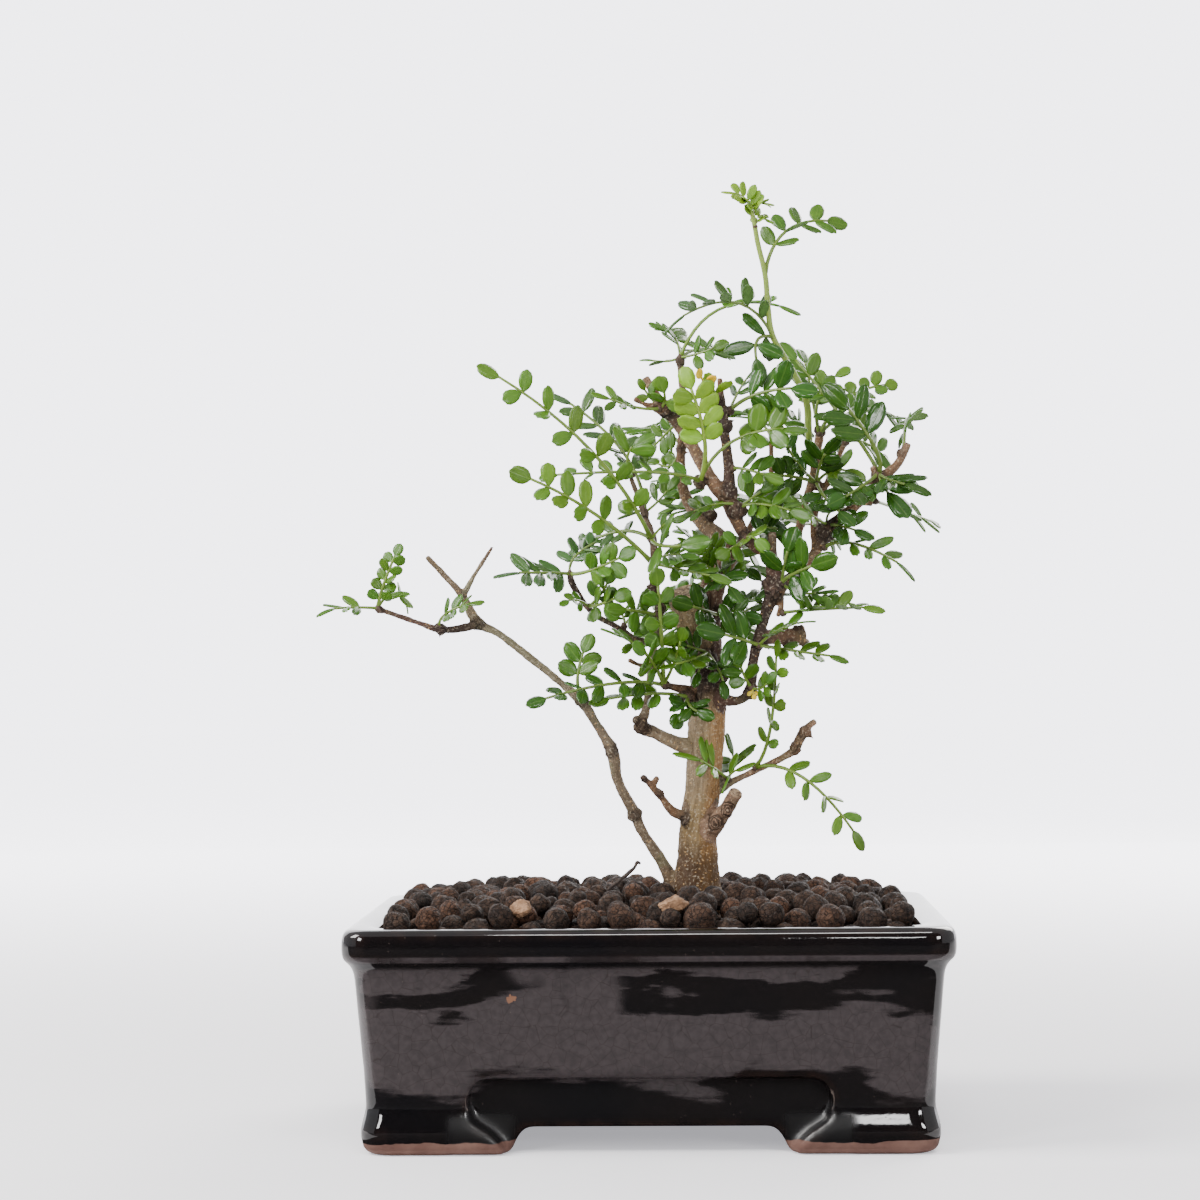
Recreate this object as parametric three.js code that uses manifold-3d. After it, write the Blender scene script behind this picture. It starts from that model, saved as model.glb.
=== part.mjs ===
// A Japanese pepper bonsai in a black glazed tray pot with four corner feet.
// Millimetres, +Z up; the origin is on the ground under the middle of the pot and the front faces -Y.

import * as THREE from "three";
import { mergeVertices } from "three/addons/utils/BufferGeometryUtils.js";
import Module from "manifold-3d";

const wasm = await Module();
wasm.setup();

// Driving dimensions of the pot.
const POT_LENGTH = 200;
const POT_WIDTH = 150;
const POT_HEIGHT = 73.7;
const RIM_WIDTH = 11.8;
const CORNER_RADIUS = 10;
const FLOOR_UNDERSIDE = 8.5;
const FLOOR_TOP = 14;
const DRAIN_RADIUS = 8;
const DRAIN_OFFSET = 45;
const FOOT_WIDTH = 21;
const PANEL_TOP = 25;
const PANEL_CORNER = 8;
const PANEL_DEPTH = 4.5;
const LOWEST_WALL_INSET = 7;

// Half lengths of the set-back panel and of the arch under it, at the top and at the ground.
const LONG_SIDE = { panelTop: 59, panelGround: 46, archTop: 42, archGround: 46, reach: POT_WIDTH };
const SHORT_SIDE = { panelTop: 37, panelGround: 26, archTop: 22, archGround: 26, reach: POT_LENGTH };

// Driving dimensions of the filling and of the gaps between pieces that touch.
const GAP = 0.3;
const MESH_WIDTH = 26;
const MESH_THICKNESS = 1.2;
const MESH_BAR_WIDTH = 3.4;
const SOIL_TOP = 65;
const PELLET_PITCH = 14.5;
const PELLET_TOP = 79.2;
const PELLET_MOUND = 4.8;
const PELLET_UNEVENNESS = 1.6;
const PELLET_WALL_TOP = 71;

// Leaf blades are this thick, and a leaf stalk is this wide.
const BLADE_THICKNESS = 0.7;
const STALK_WIDTH = 1.3;

// Places on the plant are read as seen from the front, on the upright plane through the middle of the pot,
// and then moved along the line of sight to their own depth. The eye is this far in front of the pot.
const EYE = new THREE.Vector3(17.8, -991.2, 158.8);

function place(x, z, depth) {
  const onPlane = new THREE.Vector3(x, 0, z);
  return onPlane.sub(EYE).multiplyScalar((depth - EYE.y) / -EYE.y).add(EYE);
}

// Solids: a loft through rings of points, and the joins and cuts between solids.

function loft(rings) {
  const sides = rings[0].length;
  const positions = rings.flat().flatMap((p) => [p.x, p.y, p.z]);
  const faces = [];
  for (let r = 0; r + 1 < rings.length; r++) {
    for (let s = 0; s < sides; s++) {
      const a = r * sides + s;
      const b = r * sides + ((s + 1) % sides);
      faces.push(a, b, b + sides, a, b + sides, a + sides);
    }
  }
  const last = (rings.length - 1) * sides;
  for (let s = 1; s + 1 < sides; s++) {
    faces.push(0, s + 1, s, last, last + s, last + s + 1);
  }
  const geometry = new THREE.BufferGeometry();
  geometry.setAttribute("position", new THREE.Float32BufferAttribute(positions, 3));
  geometry.setIndex(faces);
  return geometry;
}

function solid(geometry) {
  const bare = geometry.clone();
  bare.deleteAttribute("normal");
  bare.deleteAttribute("uv");
  const merged = mergeVertices(bare, 1e-4);
  return new wasm.Manifold(
    new wasm.Mesh({
      numProp: 3,
      vertProperties: new Float32Array(merged.attributes.position.array),
      triVerts: new Uint32Array(merged.index.array),
    }),
  );
}

function joined(solids) {
  return solids.reduce((whole, piece) => whole.add(piece));
}

function largestBody(body) {
  return body.decompose().reduce((a, b) => (b.volume() > a.volume() ? b : a));
}

function toGeometry(body) {
  const mesh = body.getMesh();
  const geometry = new THREE.BufferGeometry();
  geometry.setAttribute("position", new THREE.Float32BufferAttribute(mesh.vertProperties, mesh.numProp));
  geometry.setIndex(Array.from(mesh.triVerts));
  return geometry;
}

// Random draws come from one seeded stream for each use.
function randomStream(seed) {
  let state = seed;
  return () => {
    state = (state * 1664525 + 1013904223) % 4294967296;
    return state / 4294967296;
  };
}

// The pot: a lofted tray with a rolled rim, set-back panels in its foot and four corner feet.

function roundedRing(inset, z, radius, steps = 4) {
  const halfX = POT_LENGTH / 2 - inset;
  const halfY = POT_WIDTH / 2 - inset;
  const corners = [
    [halfX - radius, halfY - radius, 0],
    [radius - halfX, halfY - radius, 1],
    [radius - halfX, radius - halfY, 2],
    [halfX - radius, radius - halfY, 3],
  ];
  return corners.flatMap(([x, y, quarter]) =>
    Array.from({ length: steps + 1 }, (_, k) => {
      const angle = ((quarter + k / steps) * Math.PI) / 2;
      return new THREE.Vector3(x + radius * Math.cos(angle), y + radius * Math.sin(angle), z);
    }),
  );
}

// Insets from the rim's outermost line, heights and corner radii: from the foot up over the rim and down
// inside.
const POT_PROFILE = [
  [8.1, 0, 8],
  [5.6, 4.3, 9],
  [5.3, 7.5, 9],
  [7, 15, 9],
  [5.3, 40, 9],
  [3.4, 58, 9],
  [2.8, 61.5, 9],
  [0.8, 64.5, CORNER_RADIUS],
  [0, 67, CORNER_RADIUS],
  [0.3, 71.5, CORNER_RADIUS],
  [2.2, POT_HEIGHT, 9],
  [RIM_WIDTH - 2, POT_HEIGHT, 6],
  [RIM_WIDTH, 71.5, 5],
  [RIM_WIDTH + 1, 62, 5],
  [RIM_WIDTH + 2.5, FLOOR_TOP, 5],
];

function panelOutline({ panelTop, panelGround }) {
  const shoulder = PANEL_TOP - PANEL_CORNER;
  const outline = new THREE.Shape();
  outline.moveTo(-panelGround, -1);
  outline.quadraticCurveTo(-panelGround - 1, 6, -panelTop + 1, 11);
  outline.lineTo(-panelTop, shoulder);
  outline.quadraticCurveTo(-panelTop, PANEL_TOP, -panelTop + PANEL_CORNER, PANEL_TOP);
  outline.lineTo(panelTop - PANEL_CORNER, PANEL_TOP);
  outline.quadraticCurveTo(panelTop, PANEL_TOP, panelTop, shoulder);
  outline.lineTo(panelTop - 1, 11);
  outline.quadraticCurveTo(panelGround + 1, 6, panelGround, -1);
  return outline;
}

function archOutline({ archTop, archGround }) {
  const outline = new THREE.Shape();
  outline.moveTo(-archGround, -1);
  outline.quadraticCurveTo(-archTop - 1, FLOOR_UNDERSIDE, -archTop + 3, FLOOR_UNDERSIDE);
  outline.lineTo(archTop - 3, FLOOR_UNDERSIDE);
  outline.quadraticCurveTo(archTop + 1, FLOOR_UNDERSIDE, archGround, -1);
  return outline;
}

function sideCutter(outline, from, to, turn) {
  const options = { depth: to - from, bevelEnabled: false, curveSegments: 3 };
  const geometry = new THREE.ExtrudeGeometry(outline, options);
  geometry.rotateX(Math.PI / 2);
  geometry.translate(0, -from, 0);
  geometry.rotateZ(turn);
  return solid(geometry);
}

function potBody() {
  const rings = POT_PROFILE.map(([inset, z, radius]) => roundedRing(inset, z, radius));
  let pot = solid(loft(rings));
  [LONG_SIDE, SHORT_SIDE, LONG_SIDE, SHORT_SIDE].forEach((side, quarter) => {
    const turn = (quarter * Math.PI) / 2;
    const panelBack = side.reach / 2 - LOWEST_WALL_INSET - PANEL_DEPTH;
    pot = pot.subtract(sideCutter(panelOutline(side), panelBack, side.reach, turn));
    pot = pot.subtract(sideCutter(archOutline(side), 0, side.reach, turn));
  });
  const underside = loft([roundedRing(FOOT_WIDTH, -1, 4, 2), roundedRing(FOOT_WIDTH, FLOOR_UNDERSIDE, 4, 2)]);
  pot = pot.subtract(solid(underside));
  for (const x of [-DRAIN_OFFSET, DRAIN_OFFSET]) {
    const hole = new THREE.CylinderGeometry(DRAIN_RADIUS, DRAIN_RADIUS, 12, 16);
    hole.rotateX(Math.PI / 2);
    hole.translate(x, 0, FLOOR_TOP - 3);
    pot = pot.subtract(solid(hole));
  }
  return pot;
}

// A square of drainage mesh lies over each drain hole, inside the pot.
function drainMesh(x) {
  const outermost = (MESH_WIDTH - MESH_BAR_WIDTH) / 2;
  const pieces = [];
  for (const offset of [-outermost, 0, outermost]) {
    for (const turn of [0, Math.PI / 2]) {
      const strip = new THREE.BoxGeometry(MESH_WIDTH, MESH_BAR_WIDTH, MESH_THICKNESS);
      strip.translate(0, offset, FLOOR_TOP + GAP + MESH_THICKNESS / 2);
      strip.rotateZ(turn);
      strip.translate(x, 0, 0);
      pieces.push(solid(strip));
    }
  }
  return joined(pieces);
}

// The wood: every branch is a row of [x, z, depth, radius] points, thick end first.

const BRANCHES = {
  trunk: [
    [15.5, 48, 0, 9], [15.8, 66, 0, 10.5], [15.9, 82, 0, 8.6], [16.3, 91, 0, 7.2], [16.6, 103, 0, 6.4],
    [18.4, 116, 0, 6.2], [19.4, 130, 0, 6.5], [20.4, 143, 0, 6.6], [20.6, 152, 0, 6.3], [20.2, 162, 1, 5.6],
    [20, 172, 2, 5.3], [22, 184, 4, 4.6], [26.5, 193, 6, 3.9], [29, 199, 8, 3.3],
  ],
  choppedTop: [[19, 163, 1, 5.5], [16, 173, -2, 6.2], [13, 184, -7, 6.6]],
  rootLeft: [[15, 70, 0, 7], [6, 67, -3, 4.5], [-4, 58, -7, 3], [-12, 50, -10, 1.8]],
  rootRight: [[17, 70, 0, 7], [28, 66, 3, 4.2], [38, 57, 6, 2.6], [46, 49, 8, 1.6]],
  rootFront: [[16, 70, -1, 7], [18, 65, -12, 4], [20, 56, -22, 2.5], [22, 48, -30, 1.5]],
  slenderStem: [
    [14, 68, 1, 4], [8, 82, 3, 2.9], [3.4, 91, 3, 2], [-3, 101, 1, 1.8], [-5.4, 107, 0, 2.1],
    [-11, 118, -4, 1.8],
    [-13.2, 129, -8, 2.3], [-18, 137.5, -11, 1.5], [-23.5, 146, -16, 1.9], [-30, 152, -19, 1.3],
    [-42, 162, -24, 1.4], [-53, 170.5, -28, 1.25], [-59.5, 174, -30, 1.9], [-65, 183.5, -33, 1.35],
    [-72, 191.5, -36, 1.05], [-77.3, 197.3, -38, 0.9],
  ],
  slenderTwigUp: [
    [-65, 183, -33, 1.2], [-61, 190, -36, 0.8], [-58, 194.7, -38, 0.75], [-54.2, 200.5, -41, 0.6],
  ],
  slenderTwigLeft: [
    [-59.5, 173.5, -30, 1.5], [-65, 172.2, -33, 1.35], [-72.5, 171.7, -36, 1.25], [-80, 174, -39, 0.9],
    [-87.5, 176.7, -42, 0.9], [-94.3, 179, -45, 0.9],
  ],
  leftBranch: [
    [15, 129.5, -2, 3], [8, 132, -4, 2.1], [2, 135, -6, 1.9], [-2.4, 137.4, -7, 2.4], [-1.2, 143, -8, 1.5],
    [0, 151, -8, 1.35], [1.5, 163, -9, 1.3], [4, 178, -11, 1.5], [2.5, 185, -12, 1.7],
    [2.2, 193, -13, 1.35],
    [1.6, 203, -14, 1.4], [-1, 211, -15, 1.1], [-5.6, 224, -16, 0.9],
  ],
  leftBranchTwig: [[0.9, 158, -8.5, 1.2], [-4, 159, -12, 0.7], [-7, 160.5, -15, 0.9]],
  leftSpur: [[16, 149, -2, 2.2], [10, 150.5, -7, 1.5], [6, 151.6, -11, 1.2]],
  darkTwig: [
    [19, 163, 0, 2], [10, 166, 0, 1.3], [-4, 167.5, -2, 1.2], [-10, 171.5, -6, 1.1], [-20, 177.5, -11, 1],
    [-24, 183, -13, 0.95], [-27, 189, -16, 1.3],
  ],
  lowTwig: [[13, 105.5, -3, 2], [8, 107.5, -5, 1.3], [4, 112, -7, 0.95], [-2, 119.5, -9, 0.6]],
  cutStub: [[18.5, 98, -1, 3.8], [23.5, 104, -4, 3], [26.5, 108.5, -7, 2.4], [29.6, 113.2, -9, 2.7]],
  rightTwig: [
    [23, 115, 0, 2.2], [30, 118.5, 1, 1.2], [36, 121.3, 0, 1.2], [47, 126.5, -2, 1.25],
    [50.5, 129, -2, 1.6],
    [52.5, 133, -3, 1.9], [55, 136.5, -3, 1.3], [57.8, 138.7, -4, 1.1],
  ],
  frontStem: [
    [23, 147.5, -2, 2.6], [31, 146, -6, 1.6], [34.4, 148.5, -8, 1.7], [36.3, 159, -10, 1.9],
    [38.5, 169, -11, 1.8],
    [41.5, 178, -11, 2.1], [43.4, 184, -11, 3], [43, 191, -10, 2], [42, 197, -9, 2], [37.5, 199.5, -9, 2],
    [33.3, 204.3, -8, 2.2], [30.6, 210, -7, 2.5], [28.4, 216, -6, 2.9],
  ],
  frontStemTop: [
    [43.8, 183, -11, 1.9], [45.2, 189, -12, 1.5], [44, 196, -13, 1.3], [43.2, 204.5, -13, 1.6],
  ],
  frontStemSpur: [[44.8, 184.5, -11, 1.6], [46.3, 179, -12, 1.1], [45, 175, -13, 0.8]],
  frontStemStub: [[38.7, 167.5, -11, 2.4], [46, 168.3, -7, 2.9], [54, 168, -4, 3.1]],
  crownLeft: [
    [28.6, 215, -6, 2.7], [22.5, 223, -6, 2.5], [14.5, 237.5, -8, 2.1], [8, 247, -9, 2.5],
    [4, 252, -9, 1.6],
    [-0.5, 259, -9, 1.5],
  ],
  crownLeftSpur: [[7, 247.5, -9, 2], [-1, 250, -12, 0.8], [-4.2, 251.8, -13, 1.1]],
  crownMiddle: [
    [28.4, 215, -6, 2.6], [28.7, 224, -7, 2.1], [28, 233, -9, 1.7], [27, 241, -10, 1.9],
    [26.3, 249, -10, 1.6],
    [25.7, 258.5, -9, 0.9],
  ],
  crownBack: [
    [28.6, 198, 8, 3.2], [24.5, 203.5, 10, 3], [19.5, 207.5, 12, 2.6], [15, 214, 14, 2.2],
    [12.4, 221, 15, 1.9],
    [12, 233, 16, 1.6], [13, 246, 16, 1.4], [12, 264, 14, 1.2],
  ],
  crownBackKnob: [[20.5, 206.5, 12, 1.8], [22.2, 211, 13, 1.7]],
  rightBranch: [
    [43.5, 184.5, -10, 2.6], [50, 189, -6, 1.9], [56, 194, -2, 1.9], [60, 200, 2, 2], [63, 204.8, 4, 2.9],
    [70, 211.2, 6, 1.9], [76, 217, 8, 1.8], [80.5, 222.5, 8, 2.2], [86, 226.4, 8, 1.6], [89, 230.5, 7, 1.4],
    [91, 235, 6, 1.4],
  ],
  rightBranchNub: [[74.5, 215, 8, 1.5], [78.5, 214.3, 8, 1.2]],
  rightBranchStub: [[80, 222, 8, 1.6], [78.5, 227, 6, 1.2]],
  rightInner: [
    [51, 190, -5, 1.8], [52, 200, 6, 1.5], [54, 211, 14, 1.5], [57.8, 224, 20, 1.5],
    [60.6, 240, 30, 1.6],
  ],
  rightInnerTwig: [[58.5, 197.5, 0, 1.6], [58.6, 212, 14, 1.3], [63, 222, 19, 1.1], [68.8, 235, 25, 1]],
  backTwig: [
    [25.5, 191, 6, 2], [33, 202, 16, 1.4], [38, 210, 24, 1.2], [42.5, 220, 30, 1.1],
    [43.5, 237, 34, 0.9],
  ],
};

function branchSides(radius) {
  if (radius > 5) return 7;
  return radius > 2.4 ? 5 : 4;
}

// Each branch bends gently between its points; a ring every so often carries the radius along.
function branchSolid(points, extra) {
  const places = points.map(([x, z, depth]) => place(x, z, depth));
  const sides = branchSides(points[0][3]);
  const up = new THREE.Vector3(0.13, 0.97, 0.2);
  const rings = places.map((centre, k) => {
    const before = places[Math.max(k - 1, 0)];
    const after = places[Math.min(k + 1, places.length - 1)];
    const along = after.clone().sub(before).normalize();
    const across = along.clone().cross(up).normalize();
    const over = across.clone().cross(along);
    const end = k === 0 || k === places.length - 1 ? extra : 0;
    const reach = along.clone().multiplyScalar(k === 0 ? -end : end);
    const radius = points[k][3] + extra;
    return Array.from({ length: sides }, (_, s) => {
      const angle = (-2 * Math.PI * s) / sides;
      return centre
        .clone()
        .add(reach)
        .addScaledVector(across, radius * Math.cos(angle))
        .addScaledVector(over, radius * Math.sin(angle));
    });
  });
  const geometry = loft(rings);
  const body = solid(geometry);
  return body.volume() > 0 ? body : solid(loft(rings.map((ring) => ring.slice().reverse())));
}

function woodBody(extra) {
  return joined(Object.values(BRANCHES).map((points) => branchSolid(points, extra)));
}

// The foliage: each spray grows from one bud on the wood. A leaf is a row of [via x, z, depth],
// [tip x, z, depth], pairs of leaflets, leaflet length, leaflet width, turn, fold, bare share.
// Turn is 0 where the leaf faces the front and 90 where it faces up; fold lifts the leaflets from the rib.

const SPRAYS = {
  leftTwigTip: {
    bud: [-94.6, 179.4, -45.5],
    leaves: [
      [[-92.4, 188, -47], [-86.5, 202, -48], 4, 6.4, 4.4, 12, 12, 0.2],
      [[-105, 179.7, -52], [-116.3, 178.7, -60], 2, 8, 2.8, 70, 8, 0.25],
      [[-88.5, 184.6, -40], [-82.5, 178, -34], 3, 6.5, 3.2, 60, 10, 0.2],
    ],
  },
  leftTwigKnot: {
    bud: [-73.2, 173, -37],
    leaves: [[[-69.5, 178, -42], [-57.5, 182, -46], 3, 6.5, 3, 55, 12, 0.25]],
  },
  slenderElbow: {
    bud: [-23.8, 148, -17.5],
    leaves: [[[-24.6, 157, -16], [-20, 170, -15], 2, 8.2, 5.4, 12, 14, 0.32]],
  },
  leftSpurTip: {
    bud: [5, 151.8, -12.4],
    leaves: [
      [[-15, 152, -25], [-43, 145.2, -36], 5, 8, 4, 50, 12, 0.15],
      [[-2, 163.5, -24], [-16.5, 172, -31], 2, 9, 2.6, 70, 8, 0.62],
      [[4.5, 170, -25], [3, 192.5, -34], 3, 7, 5, 15, 12, 0.35],
      [[9, 160, -19], [12, 171, -28], 2, 6, 4, 30, 12, 0.3],
    ],
  },
  trunkLeft: {
    bud: [13.6, 147.4, -9],
    leaves: [
      [[-1, 148.6, -16], [-21, 145.6, -24], 3, 8, 4.2, 62, 12, 0.3],
      [[15, 143.5, -15], [22.5, 140, -19], 2, 7.5, 4.8, 5, 14, 0.2],
      [[11.5, 143, -14], [8.5, 136.5, -18], 1, 6.5, 4.6, 5, 14, 0.2],
    ],
  },
  rightTwigFoot: {
    bud: [27.2, 118.8, -0.6],
    leaves: [
      [[21.5, 124, -10], [13.5, 129.3, -16], 2, 8, 2.8, 60, 12, 0.45],
      [[29, 126, 6], [27.4, 134, 10], 2, 7.5, 3.4, 30, 12, 0.25],
      [[30, 121.5, -8], [34.5, 123, -11], 1, 6, 2.6, 40, 12, 0.3],
    ],
  },
  rightTwigFork: {
    bud: [36.6, 122.8, -1.2],
    leaves: [
      [[55, 117.8, -8], [74.6, 93.8, -12], 4, 8.6, 3.4, 45, 12, 0.22],
      [[42.2, 137, -8], [44.5, 167, -19], 5, 7, 3.6, 60, 14, 0.2],
    ],
  },
  frontStemFoot: {
    bud: [35.6, 150.5, -11.2],
    leaves: [
      [[39.5, 150.5, -15], [43.5, 155.5, -19], 2, 5.6, 3, 30, 12, 0.2],
      [[32.6, 156, -15], [31, 162.4, -18], 1, 6.2, 4.2, 10, 12, 0.2],
    ],
  },
  frontStemRight: {
    bud: [38.4, 165.2, -13.2],
    leaves: [
      [[54, 162.6, -19], [69.6, 160.4, -24], 3, 7.6, 3.6, 55, 14, 0.25],
      [[45.5, 171.8, -20], [57, 171.5, -26], 3, 7.2, 4, 50, 14, 0.2],
      [[30, 168, -20], [17.5, 171.5, -28], 2, 12, 6.4, 10, 12, 0.2],
    ],
  },
  frontSpur: {
    bud: [46.8, 176.4, -14],
    leaves: [[[59, 177.4, -17], [82.3, 178.2, -22], 5, 8.8, 5, 72, 46, 0.14]],
  },
  frontKnot: {
    bud: [46.6, 186.6, -13.4],
    leaves: [
      [[52, 190.5, -20], [65.5, 195.4, -30], 2, 11.6, 6.2, 12, 12, 0.22],
      [[48, 195, -19], [51, 206, -23], 1, 9.6, 6, 5, 10, 0.2],
      [[39.5, 187, -19], [36, 192.5, -24], 1, 7.4, 4.4, 15, 12, 0.2],
    ],
  },
  rightBranchFoot: {
    bud: [61.5, 199, 0.6],
    leaves: [[[74, 199.6, -3], [94, 188.8, -8], 3, 9.6, 3, 60, 12, 0.25]],
  },
  rightBranchKnot: {
    bud: [62.6, 207, 1.4],
    leaves: [
      [[70.5, 205.5, -5], [79, 202, -8], 2, 8.6, 4.2, 30, 12, 0.2],
      [[56, 211, -6], [46.5, 218.4, -11], 3, 7.4, 3.2, 50, 12, 0.28],
      [[64, 211.6, 5], [71, 213.6, 10], 1, 8, 3.2, 60, 12, 0.3],
    ],
  },
  rightBranchCrook: {
    bud: [80.6, 224.6, 6.2],
    leaves: [
      [[73, 219, -1], [62.8, 213.5, -8], 2, 9.4, 4.8, 15, 12, 0.3],
      [[86.5, 221.6, 0], [98.8, 219, -6], 2, 11, 4.2, 40, 10, 0.15],
      [[84, 217.5, 0], [91, 210.5, -6], 1, 13.5, 6.2, 5, 8, 0.2],
      [[78.2, 236, 1], [62.5, 256.5, -3], 2, 13.8, 5.6, 18, 8, 0.38],
      [[70.5, 241, 13], [47, 271, 24], 4, 10, 4.6, 25, 14, 0.25],
    ],
  },
  rightBranchNub: {
    bud: [79.4, 215, 8.6],
    leaves: [[[88.5, 211.6, 40], [102, 206.4, 74], 3, 9, 3.4, 60, 12, 0.4]],
  },
  rightBranchTip: {
    bud: [89.5, 233, 8.8],
    leaves: [[[90.5, 243, 30], [92, 241, 50], 4, 8, 4, 62, 12, 0.2]],
  },
  innerTop: {
    bud: [59, 221.6, 17],
    leaves: [
      [[66.5, 226, 13], [76, 222.4, 8], 2, 9.6, 5, 28, 12, 0.25],
      [[49, 224, 12], [38.5, 223.8, 6], 3, 7.6, 5, 12, 12, 0.2],
      [[50.5, 231.5, 9], [47, 242.5, 4], 4, 7.4, 3, 62, 12, 0.2],
      [[61.5, 230.5, 12], [67.5, 237, 7], 2, 9.4, 5, 8, 12, 0.25],
    ],
  },
  innerTip: {
    bud: [60.2, 238.6, 27.6],
    leaves: [
      [[60.6, 252, 26], [71, 262, 24], 2, 7, 3.8, 30, 14, 0.4],
      [[71, 251.5, 30], [88, 255.6, 36], 4, 6, 4, 28, 26, 0.35],
      [[57, 256, 36], [54.6, 269, 46], 3, 9, 4.8, 40, 14, 0.3],
      [[76, 247, 42], [91, 241, 58], 4, 8, 3.8, 60, 12, 0.25],
    ],
  },
  innerTwigTip: {
    bud: [69.4, 235.6, 26.6],
    leaves: [
      [[77, 234.8, 34], [86, 227, 44], 3, 8, 4, 45, 12, 0.3],
      [[66, 230, 38], [62, 221, 54], 4, 8, 4, 60, 12, 0.25],
    ],
  },
  backTwigTip: {
    bud: [43.5, 237.8, 35.6],
    leaves: [
      [[50, 243, 44], [58, 238, 58], 4, 8.4, 4, 60, 12, 0.25],
      [[37, 245, 44], [28, 246, 56], 4, 8.4, 4, 62, 12, 0.25],
    ],
  },
  crownMiddleNub: {
    bud: [29, 247, -11.5],
    leaves: [
      [[41, 253.4, -18], [59.4, 254.4, -26], 3, 10.4, 5.8, 18, 10, 0.24],
      [[33, 255, -9], [38.5, 262.4, -6], 2, 6.6, 3, 50, 12, 0.3],
    ],
  },
  crownMiddleTip: {
    bud: [24.6, 251.5, -12],
    leaves: [[[23.5, 254.5, -16], [20.8, 260, -20], 1, 7.4, 4.6, 8, 12, 0.2]],
  },
  crownMiddleLow: {
    bud: [30, 227, -10],
    leaves: [[[36.5, 226, -16], [47.5, 222, -20], 3, 8.2, 4.2, 25, 12, 0.2]],
  },
  crownLeftFork: {
    bud: [18.4, 222.6, -10.4],
    leaves: [
      [[32, 237.4, -17], [56, 240, -26], 3, 9.4, 6.4, 40, 12, 0.45],
      [[20, 239, -18], [12.6, 262.4, -24], 4, 8.8, 5.2, 6, 14, 0.36],
      [[0, 226, -21], [-38, 225, -24], 5, 6.4, 3, 58, 12, 0.15],
    ],
  },
  crownLeftKnot: {
    bud: [5, 248.3, -13],
    leaves: [
      [[-5, 249, -17], [-18.8, 254.6, -22], 3, 7.6, 2.6, 62, 12, 0.35],
      [[6.5, 252.5, -17], [4, 259, -21], 1, 7, 4.8, 5, 12, 0.2],
      [[0, 254, -12], [-2, 258.6, -14], 1, 5, 2.6, 20, 12, 0.4],
    ],
  },
  crownLeftLow: {
    bud: [11.4, 243.6, -6.6],
    leaves: [[[5.5, 238, 0], [-3, 229.5, 5], 3, 6.8, 3.8, 35, 12, 0.2]],
  },
  crownBackTip: {
    bud: [12, 266, 13.5],
    leaves: [
      [[28, 283.5, 20], [54.6, 281, 25], 3, 9.4, 3.6, 55, 18, 0.45],
      [[19, 267.4, 8], [29, 271, 4], 2, 6.6, 3.4, 30, 12, 0.3],
      [[6, 264.6, 19], [-2, 266.2, 26], 1, 7, 2.6, 60, 12, 0.3],
      [[10, 273, 26], [4, 277, 40], 4, 8.2, 4, 60, 12, 0.25],
      [[21, 269, 28], [30, 266, 42], 4, 8.2, 4, 60, 12, 0.25],
    ],
  },
  crownBackMiddle: {
    bud: [11.6, 236, 18.4],
    leaves: [
      [[3, 241, 28], [-8, 240, 42], 4, 8.4, 4.2, 62, 12, 0.25],
      [[18, 242, 30], [26, 240, 46], 4, 8.4, 4.2, 62, 12, 0.25],
    ],
  },
  leftTop: {
    bud: [-5.4, 225.2, -17],
    leaves: [[[-6, 233.5, -19], [2.4, 239.4, -22], 1, 10, 4.4, 20, 10, 0.4]],
  },
  leftUpper: {
    bud: [-0.8, 212, -13],
    leaves: [
      [[-9.4, 234.6, -4], [-33.6, 254.8, 8], 4, 10, 4, 48, 12, 0.32],
      [[5, 217, -13], [11, 225, -14], 2, 7.4, 3.4, 40, 12, 0.3],
      [[-4.5, 213, -8], [-10.5, 215, -4], 1, 8.4, 4.4, 30, 12, 0.2],
    ],
  },
  leftMiddle: {
    bud: [1.4, 202.5, -17.2],
    leaves: [
      [[-22, 236.4, -36], [-59, 264.4, -48], 6, 8.4, 4.8, 14, 12, 0.14],
      [[-12, 205, -10], [-29.5, 195.6, 0], 3, 6.4, 3, 55, 12, 0.3],
      [[7.4, 200, -28], [22, 202, -34], 1, 12, 5.2, 5, 10, 0.25],
      [[6.5, 208, -22], [12.5, 210, -26], 1, 5.6, 3, 40, 12, 0.3],
    ],
  },
  leftLower: {
    bud: [1.4, 194.4, -15.6],
    leaves: [
      [[-21, 213.4, -30], [-48, 227, -42], 4, 7.8, 4.8, 10, 12, 0.36],
      [[13, 191.4, -22], [29, 188.4, -28], 3, 8.6, 3.4, 65, 12, 0.25],
    ],
  },
  leftLow: {
    bud: [2.6, 176.2, -13.4],
    leaves: [
      [[-4.5, 177.6, -23], [-13.8, 178.6, -32], 2, 9, 4.2, 15, 12, 0.2],
      [[1, 171.5, -17], [-5, 170.2, -20], 1, 9, 3.6, 20, 10, 0.15],
    ],
  },
  darkTwigTip: {
    bud: [-27.2, 190.8, -17],
    leaves: [
      [[-38.5, 191.2, -26], [-54, 191.4, -34], 3, 10.4, 3.6, 62, 12, 0.14],
      [[-21.5, 197, -13], [-11.5, 200, -9], 2, 7.4, 2.8, 62, 12, 0.3],
      [[-19, 192.2, -24], [-4.4, 199, -31], 3, 7.4, 5.4, 5, 12, 0.32],
    ],
  },
  darkTwigElbow: {
    bud: [-20.8, 179.2, -13],
    leaves: [
      [[-15, 180.6, -22], [-6.6, 184.4, -27], 2, 7, 4.8, 12, 12, 0.2],
      [[-25.5, 181.6, -20], [-31, 180, -24], 2, 4.4, 2.6, 45, 12, 0.3],
      [[-15.5, 185, -18], [-12.5, 192.6, -22], 2, 7, 5.4, 5, 12, 0.25],
    ],
  },
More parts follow.
